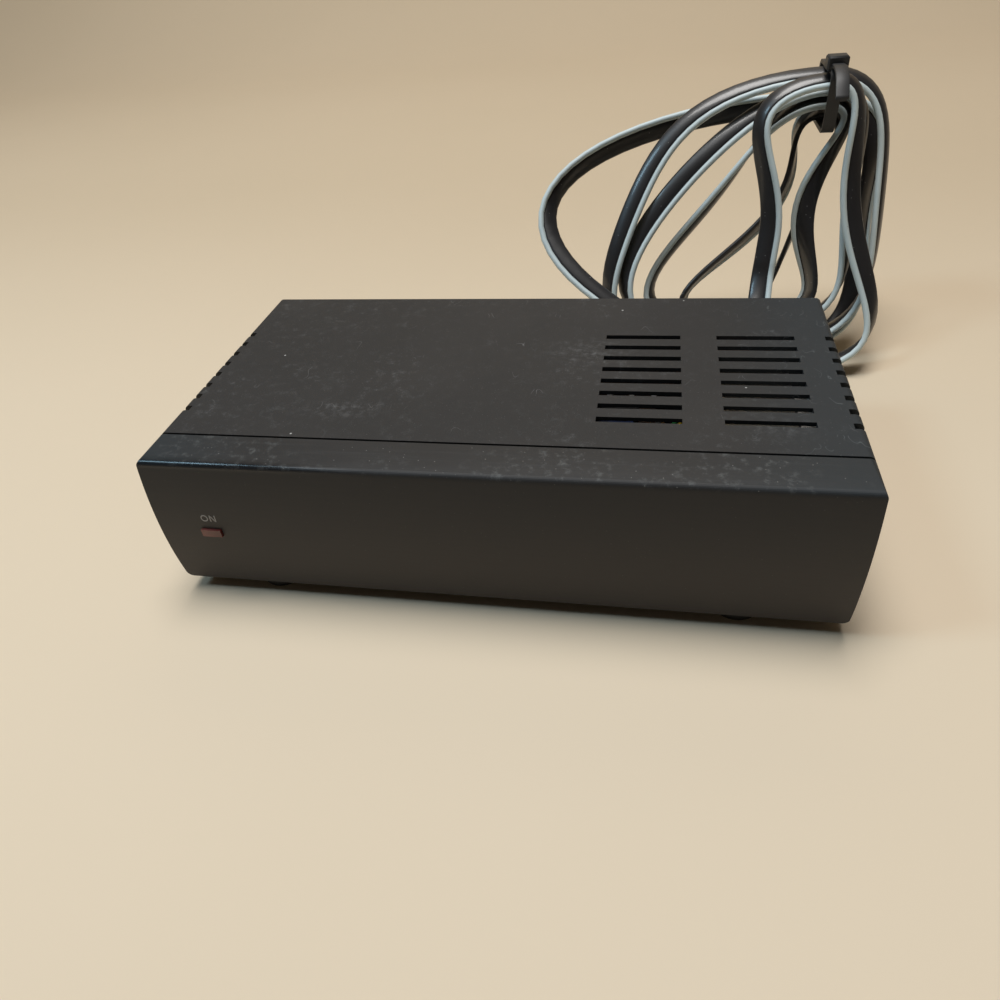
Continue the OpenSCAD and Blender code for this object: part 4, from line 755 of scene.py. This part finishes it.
def printed(loop):
    """A flat shape with a thin edge: its front and, just under the face, its back."""
    front = [on_face(x, z) for x, z in loop]
    back = [on_face(x, z, -PRINT_T) for x, z in loop]
    return skin([back, front])


def letter_o(left, right):
    cx, cz = (left + right) / 2, (WORD_LOW + WORD_HIGH) / 2
    parts = []
    for i in range(LETTER_STEPS):
        quad = []
        for k, inset in ((i, 0), (i + 1, 0), (i + 1, STROKE), (i, STROKE)):
            a = 2 * math.pi * k / LETTER_STEPS
            rx, rz = (right - left) / 2 - inset, (WORD_HIGH - WORD_LOW) / 2 - inset
            quad.append((cx + rx * math.cos(a), cz + rz * math.sin(a)))
        parts.append(printed(quad))
    return parts


def slanted_bar(low_left, high_left, width):
    low, high = low_left, high_left
    return [(low, WORD_LOW), (low + width, WORD_LOW), (high + width, WORD_HIGH), (high, WORD_HIGH)]


def letter_n(left, right):
    inner, slant = right - STROKE, STROKE * SLANT_SHARE
    bars = [(left, left, STROKE), (inner, inner, STROKE), (right - slant, left, slant)]
    return [printed(slanted_bar(*bar)) for bar in bars]


word_middle = WORD_LEFT + (WORD_RIGHT - WORD_LEFT) * O_SHARE
letters = letter_o(WORD_LEFT, word_middle - LETTER_GAP / 2)
letters += letter_n(word_middle + LETTER_GAP / 2, WORD_RIGHT)
on_word = piece("word_on", *joined(letters))

# %% [markdown]
# Materials are small networks of nodes. Writing them as sums keeps them readable, so one class
# wraps a socket and turns +, -, *, < and > into Math nodes. A Math node has no colours in it, so
# colours are blended by a Mix node instead.
# %% Shader sums
class Wire:
    """A socket of a shader node that can be used in sums."""

    def __init__(self, socket):
        self.socket = socket

    def math(self, operation, a, b=0.0):
        node = self.socket.id_data.nodes.new("ShaderNodeMath")
        node.operation = operation
        for place, value in enumerate((a, b)):
            plug_in(node.inputs[place], value)
        return Wire(node.outputs[0])

    def __add__(self, other):
        return self.math("ADD", self, other)

    def __radd__(self, other):
        return self.math("ADD", other, self)

    def __sub__(self, other):
        return self.math("SUBTRACT", self, other)

    def __rsub__(self, other):
        return self.math("SUBTRACT", other, self)

    def __mul__(self, other):
        return self.math("MULTIPLY", self, other)

    def __rmul__(self, other):
        return self.math("MULTIPLY", other, self)

    def __lt__(self, other):
        return self.math("LESS_THAN", self, other)

    def __gt__(self, other):
        return self.math("GREATER_THAN", self, other)

    def beside(self, name):
        """Another output of the same node."""
        return Wire(self.socket.node.outputs[name])

    def unsigned(self):
        return self.math("ABSOLUTE", self)

    def held(self):
        """The value kept between 0 and 1."""
        return self.math("MINIMUM", self.math("MAXIMUM", self, 0.0), 1.0)


def plug_in(socket, value):
    if isinstance(value, Wire):
        socket.id_data.links.new(value.socket, socket)
    elif socket.type == "RGBA":
        socket.default_value = (*value, 1.0)
    else:
        socket.default_value = value


def shade(tint, times, plus=0):
    """A darker or paler colour: every channel times one number, plus another."""
    return tuple(c * times + plus for c in tint)


# %% [markdown]
# A finish is one material: a Principled shader and the nodes that feed it. Its one method for
# any node sets the node's own settings first, then its sockets. The patterns that real surfaces
# share, such as specks, hairs and spots, are built on it: each is a mask from 0 to 1. Every finish
# also gets a fine relief, because no real surface is perfectly smooth.
# %% A finish
class Finish:
    def __init__(self, name):
        self.material = bpy.data.materials.new(name)
        self.material.use_nodes = True
        self.nodes = self.material.node_tree.nodes
        self.nodes.clear()
        self.place = self.node("ShaderNodeTexCoord", out="Object")

    def node(self, kind, settings=None, sockets=None, out=0):
        made = self.nodes.new(kind)
        for name, value in (settings or {}).items():
            setattr(made, name, value)
        for name, value in (sockets or {}).items():
            plug_in(made.inputs[name], value)
        return Wire(made.outputs[out]) if made.outputs else None

    def mix(self, mask, a, b):
        """Colour a where the mask is 0, and colour b where it is 1."""
        settings = {"data_type": "RGBA", "clamp_factor": True}
        return self.node("ShaderNodeMix", settings, {0: mask, 6: a, 7: b}, out=2)

    def lay(self, mask, tint):
        """Lay a colour over the finish where the mask is 1."""
        self.base = self.mix(mask, self.base, tint)

    def stretched(self, x, y, z):
        scale = (x, y, z)
        return self.node("ShaderNodeMapping", None, {"Vector": self.place, "Scale": scale})

    def noise(self, per_metre, detail=3.0, rough=0.55, at=None):
        sockets = {"Vector": at or self.place, "Scale": per_metre, "Detail": detail, "Roughness": rough}
        return self.node("ShaderNodeTexNoise", None, sockets)

    def smooth_step(self, value, low, high):
        settings = {"interpolation_type": "SMOOTHSTEP"}
        sockets = {"Value": value, "From Min": low, "From Max": high}
        return self.node("ShaderNodeMapRange", settings, sockets)

    def specks(self, per_metre, share, size):
        """Small dots: a share of the cells of a Voronoi pattern gets one."""
        sockets = {"Vector": self.place, "Scale": per_metre}
        distance = self.node("ShaderNodeTexVoronoi", None, sockets, out="Distance")
        near = 1 - self.smooth_step(distance, size * 0.6, size)
        chance = self.node("ShaderNodeSeparateColor", None, {0: distance.beside("Color")})
        return near * (chance < share)

    def hairs(self, per_metre, thin, share, at=None):
        """Fine curved lines, where a broad noise crosses its middle, kept on a share of the area."""
        wander = self.noise(per_metre, detail=1.0, at=at)
        line = 1 - self.smooth_step((wander - 0.5).unsigned(), 0.0, thin)
        islands = self.noise(per_metre * 0.9 + 7, detail=0.0)
        return line * self.smooth_step(islands, 1 - share, 1.05 - share)

    def spot(self, centre, radii):
        """A soft oval patch at a place on the object, in millimetres."""
        kind = "ShaderNodeVectorMath"
        moved = self.node(kind, {"operation": "SUBTRACT"}, {0: self.place, 1: Vector(centre) * MM})
        scaled = self.node(kind, {"operation": "DIVIDE"}, {0: moved, 1: Vector(radii) * MM})
        length = self.node(kind, {"operation": "LENGTH"}, {0: scaled}, out="Value")
        return 1 - self.smooth_step(length, 0.1, 1.0)

    def axis(self, index):
        return self.node("ShaderNodeSeparateXYZ", None, {0: self.place}, out=index)

    def bump(self, height, depth_mm, strength):
        sockets = {"Height": height, "Distance": depth_mm * MM, "Strength": strength}
        self.relief = self.node("ShaderNodeBump", None, sockets)

    def finish(self, rough, metal=0.0, coat=0.0, **constants):
        sockets = {"Base Color": self.base, "Normal": self.relief, "Roughness": rough}
        sockets |= {"Metallic": metal, "Coat Weight": coat}
        for name, value in constants.items():
            sockets[name.replace("_", " ")] = value
        shader = self.node("ShaderNodeBsdfPrincipled", None, sockets)
        self.node("ShaderNodeOutputMaterial", None, {"Surface": shader})
        print("finish:", self.material.name, len(self.nodes), "nodes")
        return self.material


# %% [markdown]
# The cover is steel sheet under a matt charcoal paint with a very fine texture. Years on a shelf
# have left dust, a few pale smudges where it was wiped, and hair scratches that shine against
# the matt paint. All of it is worked out from noise, so it stays on the cover in every view, and
# only the few marks that the eye goes to first are placed one by one.
# %% Cover paint
# Smudges: middle and radii
SMUDGES = [((20, 8, 40.4), (16, 9, 6)), ((64, -24, 40.4), (12, 7, 6)), ((-38, -22, 40.4), (15, 6, 6))]


def cover_paint():
    f = Finish("cover_paint")
    clouds = f.noise(18, detail=5)
    grain = f.noise(5200, detail=2)
    dark, light = (0.021, 0.0212, 0.0222), (0.028, 0.0272, 0.0274)
    f.base = f.mix(f.smooth_step(clouds, 0.35, 0.7), dark, light)
    f.lay(f.smooth_step(grain, 0.52, 0.8) * 0.35, (0.085, 0.082, 0.08))
    # Handling has left grainy pale blotches, thick in some places and missing in others
    blotches = f.smooth_step(f.noise(300, detail=8, rough=0.75), 0.5, 0.72)
    blotches = blotches * (0.35 + f.smooth_step(f.noise(1900, detail=3), 0.42, 0.62))
    where = f.smooth_step(f.noise(31, detail=3), 0.4, 0.62)
    f.lay(blotches * (0.1 + 0.42 * where), (0.115, 0.12, 0.125))
    smudgy = f.smooth_step(f.noise(520, detail=6, rough=0.7), 0.45, 0.7)
    for centre, radii in SMUDGES:
        f.lay(f.spot(centre, radii) * smudgy * 0.35, (0.17, 0.175, 0.18))
    # The right end is tinted bluish, a painted sheen in place of a reflection, and is scratched
    # more finely
    right_end = f.smooth_step(f.axis(0), 48 * MM, 80 * MM)
    f.lay(right_end * 0.6, (0.024, 0.033, 0.04))
    fine_hairs = f.hairs(210, 0.012, 0.45, at=f.stretched(1.4, 0.8, 1))
    f.lay(fine_hairs.held() * (0.05 + 0.3 * right_end), (0.2, 0.23, 0.24))
    dust = f.specks(300, 0.014, 0.1)
    fine_dust = f.specks(1700, 0.12, 0.2)
    f.lay(dust * 0.85, (0.5, 0.5, 0.49))
    f.lay(fine_dust * 0.3, (0.22, 0.22, 0.215))
    hairs = f.hairs(60, 0.0028, 0.33) + f.hairs(130, 0.004, 0.3, at=f.stretched(1.6, 0.7, 1))
    f.lay(hairs.held() * 0.4, (0.26, 0.27, 0.28))
    rough = 0.52 + 0.09 * clouds + 0.1 * dust - 0.1 * hairs.held()
    f.bump(grain, 0.02, 0.5)
    return f.finish(rough, Specular_IOR_Level=0.3)


# %% [markdown]
# The front panel is a moulded plastic in a very dark grey, a little smoother than the paint. Its
# face is painted warm below, as light thrown back by the warm floor, and bluish towards the brow
# and on the strip, as a painted reflection of the cool light above. The strip on top has been
# rubbed along its length, holds dust and is painted with a bluish sheen at its ends, and hands
# have polished the left of the brow.
# %% Panel plastic
# Heights on the panel between which one look passes into the next
# FACE_RISE: the heights over which the face's painted warm bounce passes into its painted cool
# reflection
FACE_RISE = (9, 37)
STRIP_RISE = (38.6, 40.2)
BROW_RISE = (38.2, 39.4)
BROW_FALL = (39.95, 40.2)


def panel_plastic():
    f = Finish("panel_plastic")

    def passing(value, limits):
        return f.smooth_step(value, limits[0] * MM, limits[1] * MM)

    height = f.axis(2)
    top = passing(height, STRIP_RISE)
    clouds = f.noise(26, detail=4)
    # Painted light: the face is coloured warm low down, as light thrown back by the floor, and bluish
    # higher up and on the strip, as a painted reflection of the cool light above
    face_warm_bounce = f.mix(clouds, (0.017, 0.013, 0.0128), (0.0215, 0.0167, 0.0164))
    face_cool_reflection = f.mix(clouds, (0.009, 0.0094, 0.0118), (0.012, 0.0124, 0.015))
    face = f.mix(passing(height, FACE_RISE), face_warm_bounce, face_cool_reflection)
    strip = f.mix(clouds, (0.008, 0.0092, 0.0112), (0.013, 0.0145, 0.017))
    f.base = f.mix(top, face, strip)
    rubbed = f.noise(1, detail=5, rough=0.7, at=f.stretched(22, 900, 900))
    f.lay(f.smooth_step(rubbed, 0.5, 0.8) * top * 0.14, (0.1, 0.11, 0.125))
    along = f.axis(0)
    # Painted sheen: both ends of the strip are tinted bluish, a reflection laid into the colour
    sheen_ends = passing(along, (40, 80)) + 1 - passing(along, (-82, -50))
    f.lay(sheen_ends.held() * top * 0.7, (0.013, 0.022, 0.029))
    # Dust lies in grainy drifts on the strip, mostly where the brow stopped a cloth
    drift = f.smooth_step(f.noise(420, detail=8, rough=0.72), 0.5, 0.7)
    drift = drift * f.smooth_step(f.noise(30, detail=2), 0.4, 0.6)
    f.lay(drift * top * 0.34, (0.17, 0.185, 0.19))
    specks = f.specks(1100, 0.1, 0.17)
    sparse = f.specks(240, 0.03, 0.08)
    f.lay(specks * (0.08 + 0.4 * top), (0.3, 0.3, 0.29))
    f.lay(sparse * 0.7, (0.4, 0.4, 0.38))
    grain = f.noise(3600, detail=2)
    edge = passing(height, BROW_RISE) * (1 - passing(height, BROW_FALL))
    dull_end = passing(along, (-55, -20))
    rough = 0.47 + 0.08 * clouds - 0.04 * top + edge * (0.52 * dull_end - 0.34)
    f.bump(grain, 0.015, 0.35)
    return f.finish(rough, Specular_IOR_Level=0.5)


# %% [markdown]
# The small parts share a few ways of being made: moulded plastic, plated or rolled metal, and
# rubber. Each way is one function that starts from a colour, so that every part gets a fine
# structure without a network written by hand for it. The few odd ones have their own functions.
# %% Plastics, metals and rubber
def moulded(name, tint, gloss):
    f = Finish(name)
    clouds = f.noise(120, detail=3)
    f.base = f.mix(clouds, tint, shade(tint, 1.22, 0.004))
    f.lay(f.specks(900, 0.05, 0.16) * 0.6, shade(tint, 0.6, 0.12))
    f.bump(f.noise(2600, detail=2), 0.012, 0.4)
    return f.finish(gloss + 0.08 * clouds)


def plated(name, tint, gloss, brushed=(1, 1, 1), stain=0.25, metal=1.0):
    f = Finish(name)
    streaks = f.noise(1, detail=5, rough=0.65, at=f.stretched(*(900 * b for b in brushed)))
    patches = f.noise(90, detail=4)
    dull = f.smooth_step(patches, 0.35, 0.75) * stain + streaks * 0.15
    f.base = f.mix(dull, tint, shade(tint, 0.62))
    f.bump(streaks, 0.01, 0.3)
    return f.finish(gloss + 0.16 * streaks + 0.1 * patches, metal)


def rubbery(tint):
    f = Finish("rubber")
    bloom = f.noise(160, detail=4)
    f.base = f.mix(f.smooth_step(bloom, 0.45, 0.8) * 0.5, tint, shade(tint, 1.8, 0.01))
    f.bump(f.noise(3000, detail=3), 0.02, 0.5)
    return f.finish(0.62 + 0.12 * bloom)


# %% [markdown]
# The lamp's lens is red epoxy with a diffuser in it, lit by nothing here: its red comes from the
# light that goes in and out again, which subsurface scattering gives at the right scale.
# %% Lamp, glass and card
LAMP_EDGE = 0.5
FUSE_CAP_L = 5
BOARD_SKIN = 0.1


def lamp_red():
    f = Finish("lamp_red")
    low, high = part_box("power_lamp")
    # Painted shade: the lens's colour darkens from its left side to its right side
    right_side_shade = f.smooth_step(f.axis(0), low.x + LAMP_EDGE * MM, high.x - LAMP_EDGE * MM)
    f.base = f.mix(right_side_shade, (0.15, 0.042, 0.036), (0.085, 0.012, 0.01))
    f.lay(f.specks(1400, 0.1, 0.2) * 0.5, (0.5, 0.3, 0.28))
    f.bump(f.noise(2400, detail=2), 0.01, 0.4)
    rough = 0.32 + 0.1 * f.noise(900)
    return f.finish(rough, coat=0.2, Subsurface_Weight=0.15, Subsurface_Scale=0.8 * MM)


def clear_glass():
    f = Finish("glass")
    low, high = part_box("glass_fuse")
    along = f.axis(0)
    cap = ((along < low.x + FUSE_CAP_L * MM) + (along > high.x - FUSE_CAP_L * MM)).held()
    f.base = f.mix(cap, (0.85, 0.9, 0.89), (0.66, 0.65, 0.61))
    f.bump(f.noise(1500), 0.01, 0.3)
    return f.finish(0.08 + 0.25 * cap, cap, IOR=1.5)


def board_card():
    f = Finish("board")
    fibres = f.noise(1, detail=5, at=f.stretched(240, 1400, 240))
    f.base = f.mix(fibres, (0.2, 0.105, 0.04), (0.34, 0.2, 0.085))
    tracks = f.smooth_step((f.noise(95, detail=0.0) - 0.5).unsigned(), 0.02, 0.03)
    under = f.axis(2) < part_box("circuit_board")[0].z + BOARD_SKIN * MM
    f.lay((1 - tracks) * under, (0.5, 0.3, 0.14))
    f.lay(f.specks(420, 0.18, 0.2), (0.62, 0.61, 0.58))
    f.bump(fibres, 0.01, 0.3)
    return f.finish(0.4 + 0.2 * fibres)


def stacked_steel():
    """The core's cut edges show the sheets that it is stacked from."""
    f = Finish("core_steel")
    sheets = f.node("ShaderNodeTexWave", {"bands_direction": "X"}, {"Vector": f.place, "Scale": 320.0})
    rust = f.smooth_step(f.noise(150, detail=5), 0.55, 0.8)
    f.base = f.mix(sheets, (0.05, 0.05, 0.055), (0.16, 0.16, 0.165))
    f.lay(rust * 0.4, (0.16, 0.07, 0.03))
    f.bump(sheets, 0.05, 0.5)
    return f.finish(0.45 + 0.2 * rust, 0.6)


def wound_wire():
    f = Finish("copper")
    turns = f.node("ShaderNodeTexWave", {"bands_direction": "Z"}, {"Vector": f.place, "Scale": 700.0})
    # Painted shade: the wave's darker bands, between the turns, stand in for the shade that falls there
    f.base = f.mix(turns, (0.248, 0.113, 0.045), (0.55, 0.25, 0.1))
    f.bump(turns, 0.12, 0.7)
    return f.finish(0.3 + 0.15 * turns, 0.7, 0.3)


def banded_body():
    """Lacquered parts that carry colour rings."""
    f = Finish("resistor_body")
    clouds = f.noise(500, detail=2)
    f.base = f.mix(clouds, (0.44, 0.304, 0.152), (0.55, 0.38, 0.19))
    rings = f.node("ShaderNodeTexWave", {"bands_direction": "X"}, {"Vector": f.place, "Scale": 260.0})
    f.lay((rings > 0.8) * 0.9, (0.3, 0.03, 0.02))
    f.bump(clouds, 0.01, 0.4)
    return f.finish(0.35 + 0.1 * clouds, coat=0.3)


# %% [markdown]
# The lead's skin is soft PVC. It has a satin gloss with a slight sheen, a finely uneven surface
# and dust, and the bead on one edge was extruded in a pale grey-blue.
# %% Lead sheath
def lead_web():
    f = Finish("lead_web")
    clouds = f.noise(70, detail=4)
    f.base = f.mix(clouds, (0.012, 0.0115, 0.0125), (0.022, 0.0215, 0.024))
    f.lay(f.specks(800, 0.12, 0.15) * 0.6, (0.3, 0.3, 0.3))
    f.bump(f.noise(1400, detail=3), 0.02, 0.4)
    return f.finish(0.3 + 0.12 * clouds, coat=0.25, Sheen_Weight=0.05, Specular_IOR_Level=0.6)


def lead_bead():
    f = Finish("lead_bead")
    clouds = f.noise(110, detail=4)
    f.base = f.mix(clouds, (0.5, 0.6, 0.63), (0.64, 0.74, 0.76))
    f.lay(f.specks(900, 0.1, 0.16) * 0.5, (0.1, 0.1, 0.11))
    f.bump(f.noise(1600, detail=3), 0.02, 0.4)
    return f.finish(0.38 + 0.12 * clouds)


for material in (lead_web(), lead_bead()):
    flat_lead.data.materials.append(material)

# %% [markdown]
# Each finish goes to the parts that the record gives it. The record's slots are the list of what
# the parts are made of, so the scene only has to say how each of those looks.
# %% Finishes by slot
# Colour and gloss
PLASTICS = {
    "black_plastic": ((0.022, 0.022, 0.023), 0.45),
    "white_plastic": ((0.72, 0.7, 0.65), 0.35),
    "yellow_plastic": ((0.7, 0.48, 0.04), 0.3),
    "red_plastic": ((0.45, 0.03, 0.025), 0.3),
    "brown_plastic": ((0.19, 0.095, 0.04), 0.5),
    "blue_sleeve": ((0.02, 0.04, 0.12), 0.25),
    "wire_sheath": ((0.6, 0.62, 0.66), 0.3),
    "ceramic": ((0.5, 0.2, 0.05), 0.4),
}
# Colour, gloss, scale of its grain along X, Y and Z, stain, and how much of it is bare metal
METALS = {
    "bare_steel": ((0.42, 0.42, 0.41), 0.34, (0.08, 1, 1)),
    "zinc": ((0.58, 0.58, 0.55), 0.3),
    "tinplate": ((0.6, 0.6, 0.57), 0.24, (0.1, 0.1, 1)),
    "nickel": ((0.68, 0.67, 0.63), 0.16, (1, 1, 1), 0.15),
    "tinned_wire": ((0.62, 0.62, 0.6), 0.28),
    "brass": ((0.7, 0.54, 0.25), 0.24),
    "aluminium": ((0.6, 0.6, 0.61), 0.32, (1, 1, 0.05)),
    "black_screw": ((0.04, 0.04, 0.042), 0.42, (1, 1, 1), 0.25, 0.7),
}
FINISHES = {
    "cover_paint": cover_paint(),
    "panel_plastic": panel_plastic(),
    "rubber": rubbery((0.018, 0.018, 0.019)),
    "lamp_red": lamp_red(),
    "board": board_card(),
    "core_steel": stacked_steel(),
    "copper": wound_wire(),
    "glass": clear_glass(),
    "resistor_body": banded_body(),
    "cord_sheath": flat_lead.data.materials[0],
}
for way, looks in ((moulded, PLASTICS), (plated, METALS)):
    FINISHES |= {name: way(name, *look) for name, look in looks.items()}
SLOT_OF = {part["node"]: part["material_slot"] for part in frame["record"]["subparts"]}


def dress(part, material):
    part.data.materials.clear()
    part.data.materials.append(material)


for name, part in frame["nodes"].items():
    dress(part, FINISHES[SLOT_OF[name]])
NEW_PIECES = {
    "black_plastic": [nylon_tie, plug],
    "black_screw": [cover_screws],
    "zinc": [panel_screws, switch_screws],
    "nickel": sockets,
    "brass": [blades],
    "rubber": [ribbed_relief],
}
for slot, parts in NEW_PIECES.items():
    for part in parts:
        dress(part, FINISHES[slot])
dress(on_word, moulded("grey_print", (0.3, 0.3, 0.31), 0.6))
print("dressed:", len(frame["nodes"]), "nodes with", len(FINISHES), "finishes")

# %% [markdown]
# Inside, each wire of a bunch has its own insulation colour, as on real looms, so that they can
# be told apart. The wires are one mesh, so its loose pieces are found by following shared
# corners, and each piece gets the next colour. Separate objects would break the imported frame.
# %% Wires by colour
WIRE_TINTS = {
    "brown": (0.12, 0.05, 0.025),
    "blue": (0.03, 0.09, 0.32),
    "red": (0.5, 0.03, 0.02),
    "yellow": (0.68, 0.47, 0.03),
    "green": (0.03, 0.26, 0.07),
}
WIRE_COLOURS = {"mains_wires": ["brown", "blue"], "winding_wires": ["red", "yellow", "green"]}


def loose_pieces(mesh):
    """For each face, the number of the loose piece that it belongs to."""
    corner = {}
    same = [corner.setdefault(tuple(round(c, 6) for c in v.co), v.index) for v in mesh.vertices]
    parent = list(range(len(mesh.vertices)))

    def root(i):
        while parent[i] != i:
            parent[i] = parent[parent[i]]
            i = parent[i]
        return i

    for edge in mesh.edges:
        parent[root(same[edge.vertices[0]])] = root(same[edge.vertices[1]])
    numbers = {}
    return [numbers.setdefault(root(same[face.vertices[0]]), len(numbers)) for face in mesh.polygons]


for name, tints in WIRE_COLOURS.items():
    mesh = frame["nodes"][name].data
    mesh.materials.clear()
    for tint in tints:
        mesh.materials.append(moulded("wire_" + tint, WIRE_TINTS[tint], 0.3))
    numbers = loose_pieces(mesh)
    for face, number in zip(mesh.polygons, numbers):
        face.material_index = number % len(tints)
    print(name, "has", max(numbers) + 1, "wires")

# %% [markdown]
# The room is a seamless sheet of warm paper that rises behind the object. A broad soft light
# overhead does most of the work, so that the shadow lies close under the front edge. A small
# bluish window at the upper left only draws the highlight along the panel's rounded edge, and a
# dim world light fills the rest.
# %% Floor, backdrop and light
PAPER_W = 6.0
PAPER_FRONT = -3.0
PAPER_REAR = 0.62
PAPER_RISE = 0.35
PAPER_H = 1.3
PAPER_STEPS = 16
# The paper's colour is painted darker towards the rear over this stretch, as shade
# where the light falls off
PAPER_SHADE_STRETCH = (-0.12, 0.3)


def paper_sheet():
    profile = [(PAPER_FRONT, 0), (PAPER_REAR, 0)]
    for i in range(1, PAPER_STEPS + 1):
        a = math.pi / 2 * i / PAPER_STEPS
        profile.append((PAPER_REAR + PAPER_RISE * math.sin(a), PAPER_RISE * (1 - math.cos(a))))
    profile.append((PAPER_REAR + PAPER_RISE, PAPER_H))
    points = [(x, y, z) for y, z in profile for x in (-PAPER_W / 2, PAPER_W / 2)]
    faces = [[2 * i, 2 * i + 1, 2 * i + 3, 2 * i + 2] for i in range(len(profile) - 1)]
    mesh = bpy.data.meshes.new("paper")
    mesh.from_pydata(points, [], faces)
    mesh.shade_smooth()
    made = bpy.data.objects.new("paper", mesh)
    bpy.context.scene.collection.objects.link(made)
    return made


def warm_paper():
    f = Finish("warm_paper")
    clouds = f.noise(5, detail=3)
    front = f.mix(clouds, (0.715, 0.612, 0.468), (0.745, 0.64, 0.497))
    # Painted shade: the rear of the paper is coloured darker than its front
    shaded_rear = f.mix(clouds, (0.55, 0.452, 0.322), (0.58, 0.477, 0.347))
    f.base = f.mix(f.smooth_step(f.axis(1), *PAPER_SHADE_STRETCH), front, shaded_rear)
    f.bump(f.noise(1200, detail=2), 0.02, 0.2)
    return f.finish(0.85, Specular_IOR_Level=0.2)


dress(paper_sheet(), warm_paper())


def area_light(name, at, aim, size, power, tint):
    data = bpy.data.lights.new(name, "AREA")
    data.shape = "RECTANGLE"
    data.size, data.size_y = size
    data.energy = power
    data.color = tint
    light = bpy.data.objects.new(name, data)
    light.location = at
    light.rotation_euler = (Vector(aim) - Vector(at)).to_track_quat("-Z", "Y").to_euler()
    bpy.context.scene.collection.objects.link(light)


area_light("overhead", (-0.12, 0.16, 1.5), (0, 0.05, 0), (0.9, 0.6), 21.6, (1.0, 0.975, 0.945))
area_light("window", (-0.72, -0.18, 0.92), (0, 0, 0), (0.2, 0.26), 2.5, (0.52, 0.8, 1.0))


def room(seen, felt):
    """A world that looks pale behind the paper's edges, but fills the shadows only dimly."""
    world = bpy.data.worlds.new("room")
    world.use_nodes = True
    nodes, links = world.node_tree.nodes, world.node_tree.links
    nodes.clear()
    grounds = []
    for tint in (felt, seen):
        ground = nodes.new("ShaderNodeBackground")
        plug_in(ground.inputs["Color"], tint)
        grounds.append(ground)
    choice = nodes.new("ShaderNodeMixShader")
    links.new(nodes.new("ShaderNodeLightPath").outputs["Is Camera Ray"], choice.inputs[0])
    for place, ground in enumerate(grounds, 1):
        links.new(ground.outputs[0], choice.inputs[place])
    links.new(choice.outputs[0], nodes.new("ShaderNodeOutputWorld").inputs[0])
    return world


bpy.context.scene.world = room(seen=(0.6, 0.53, 0.44), felt=(0.042, 0.036, 0.029))
bpy.context.scene.view_settings.view_transform = "Standard"
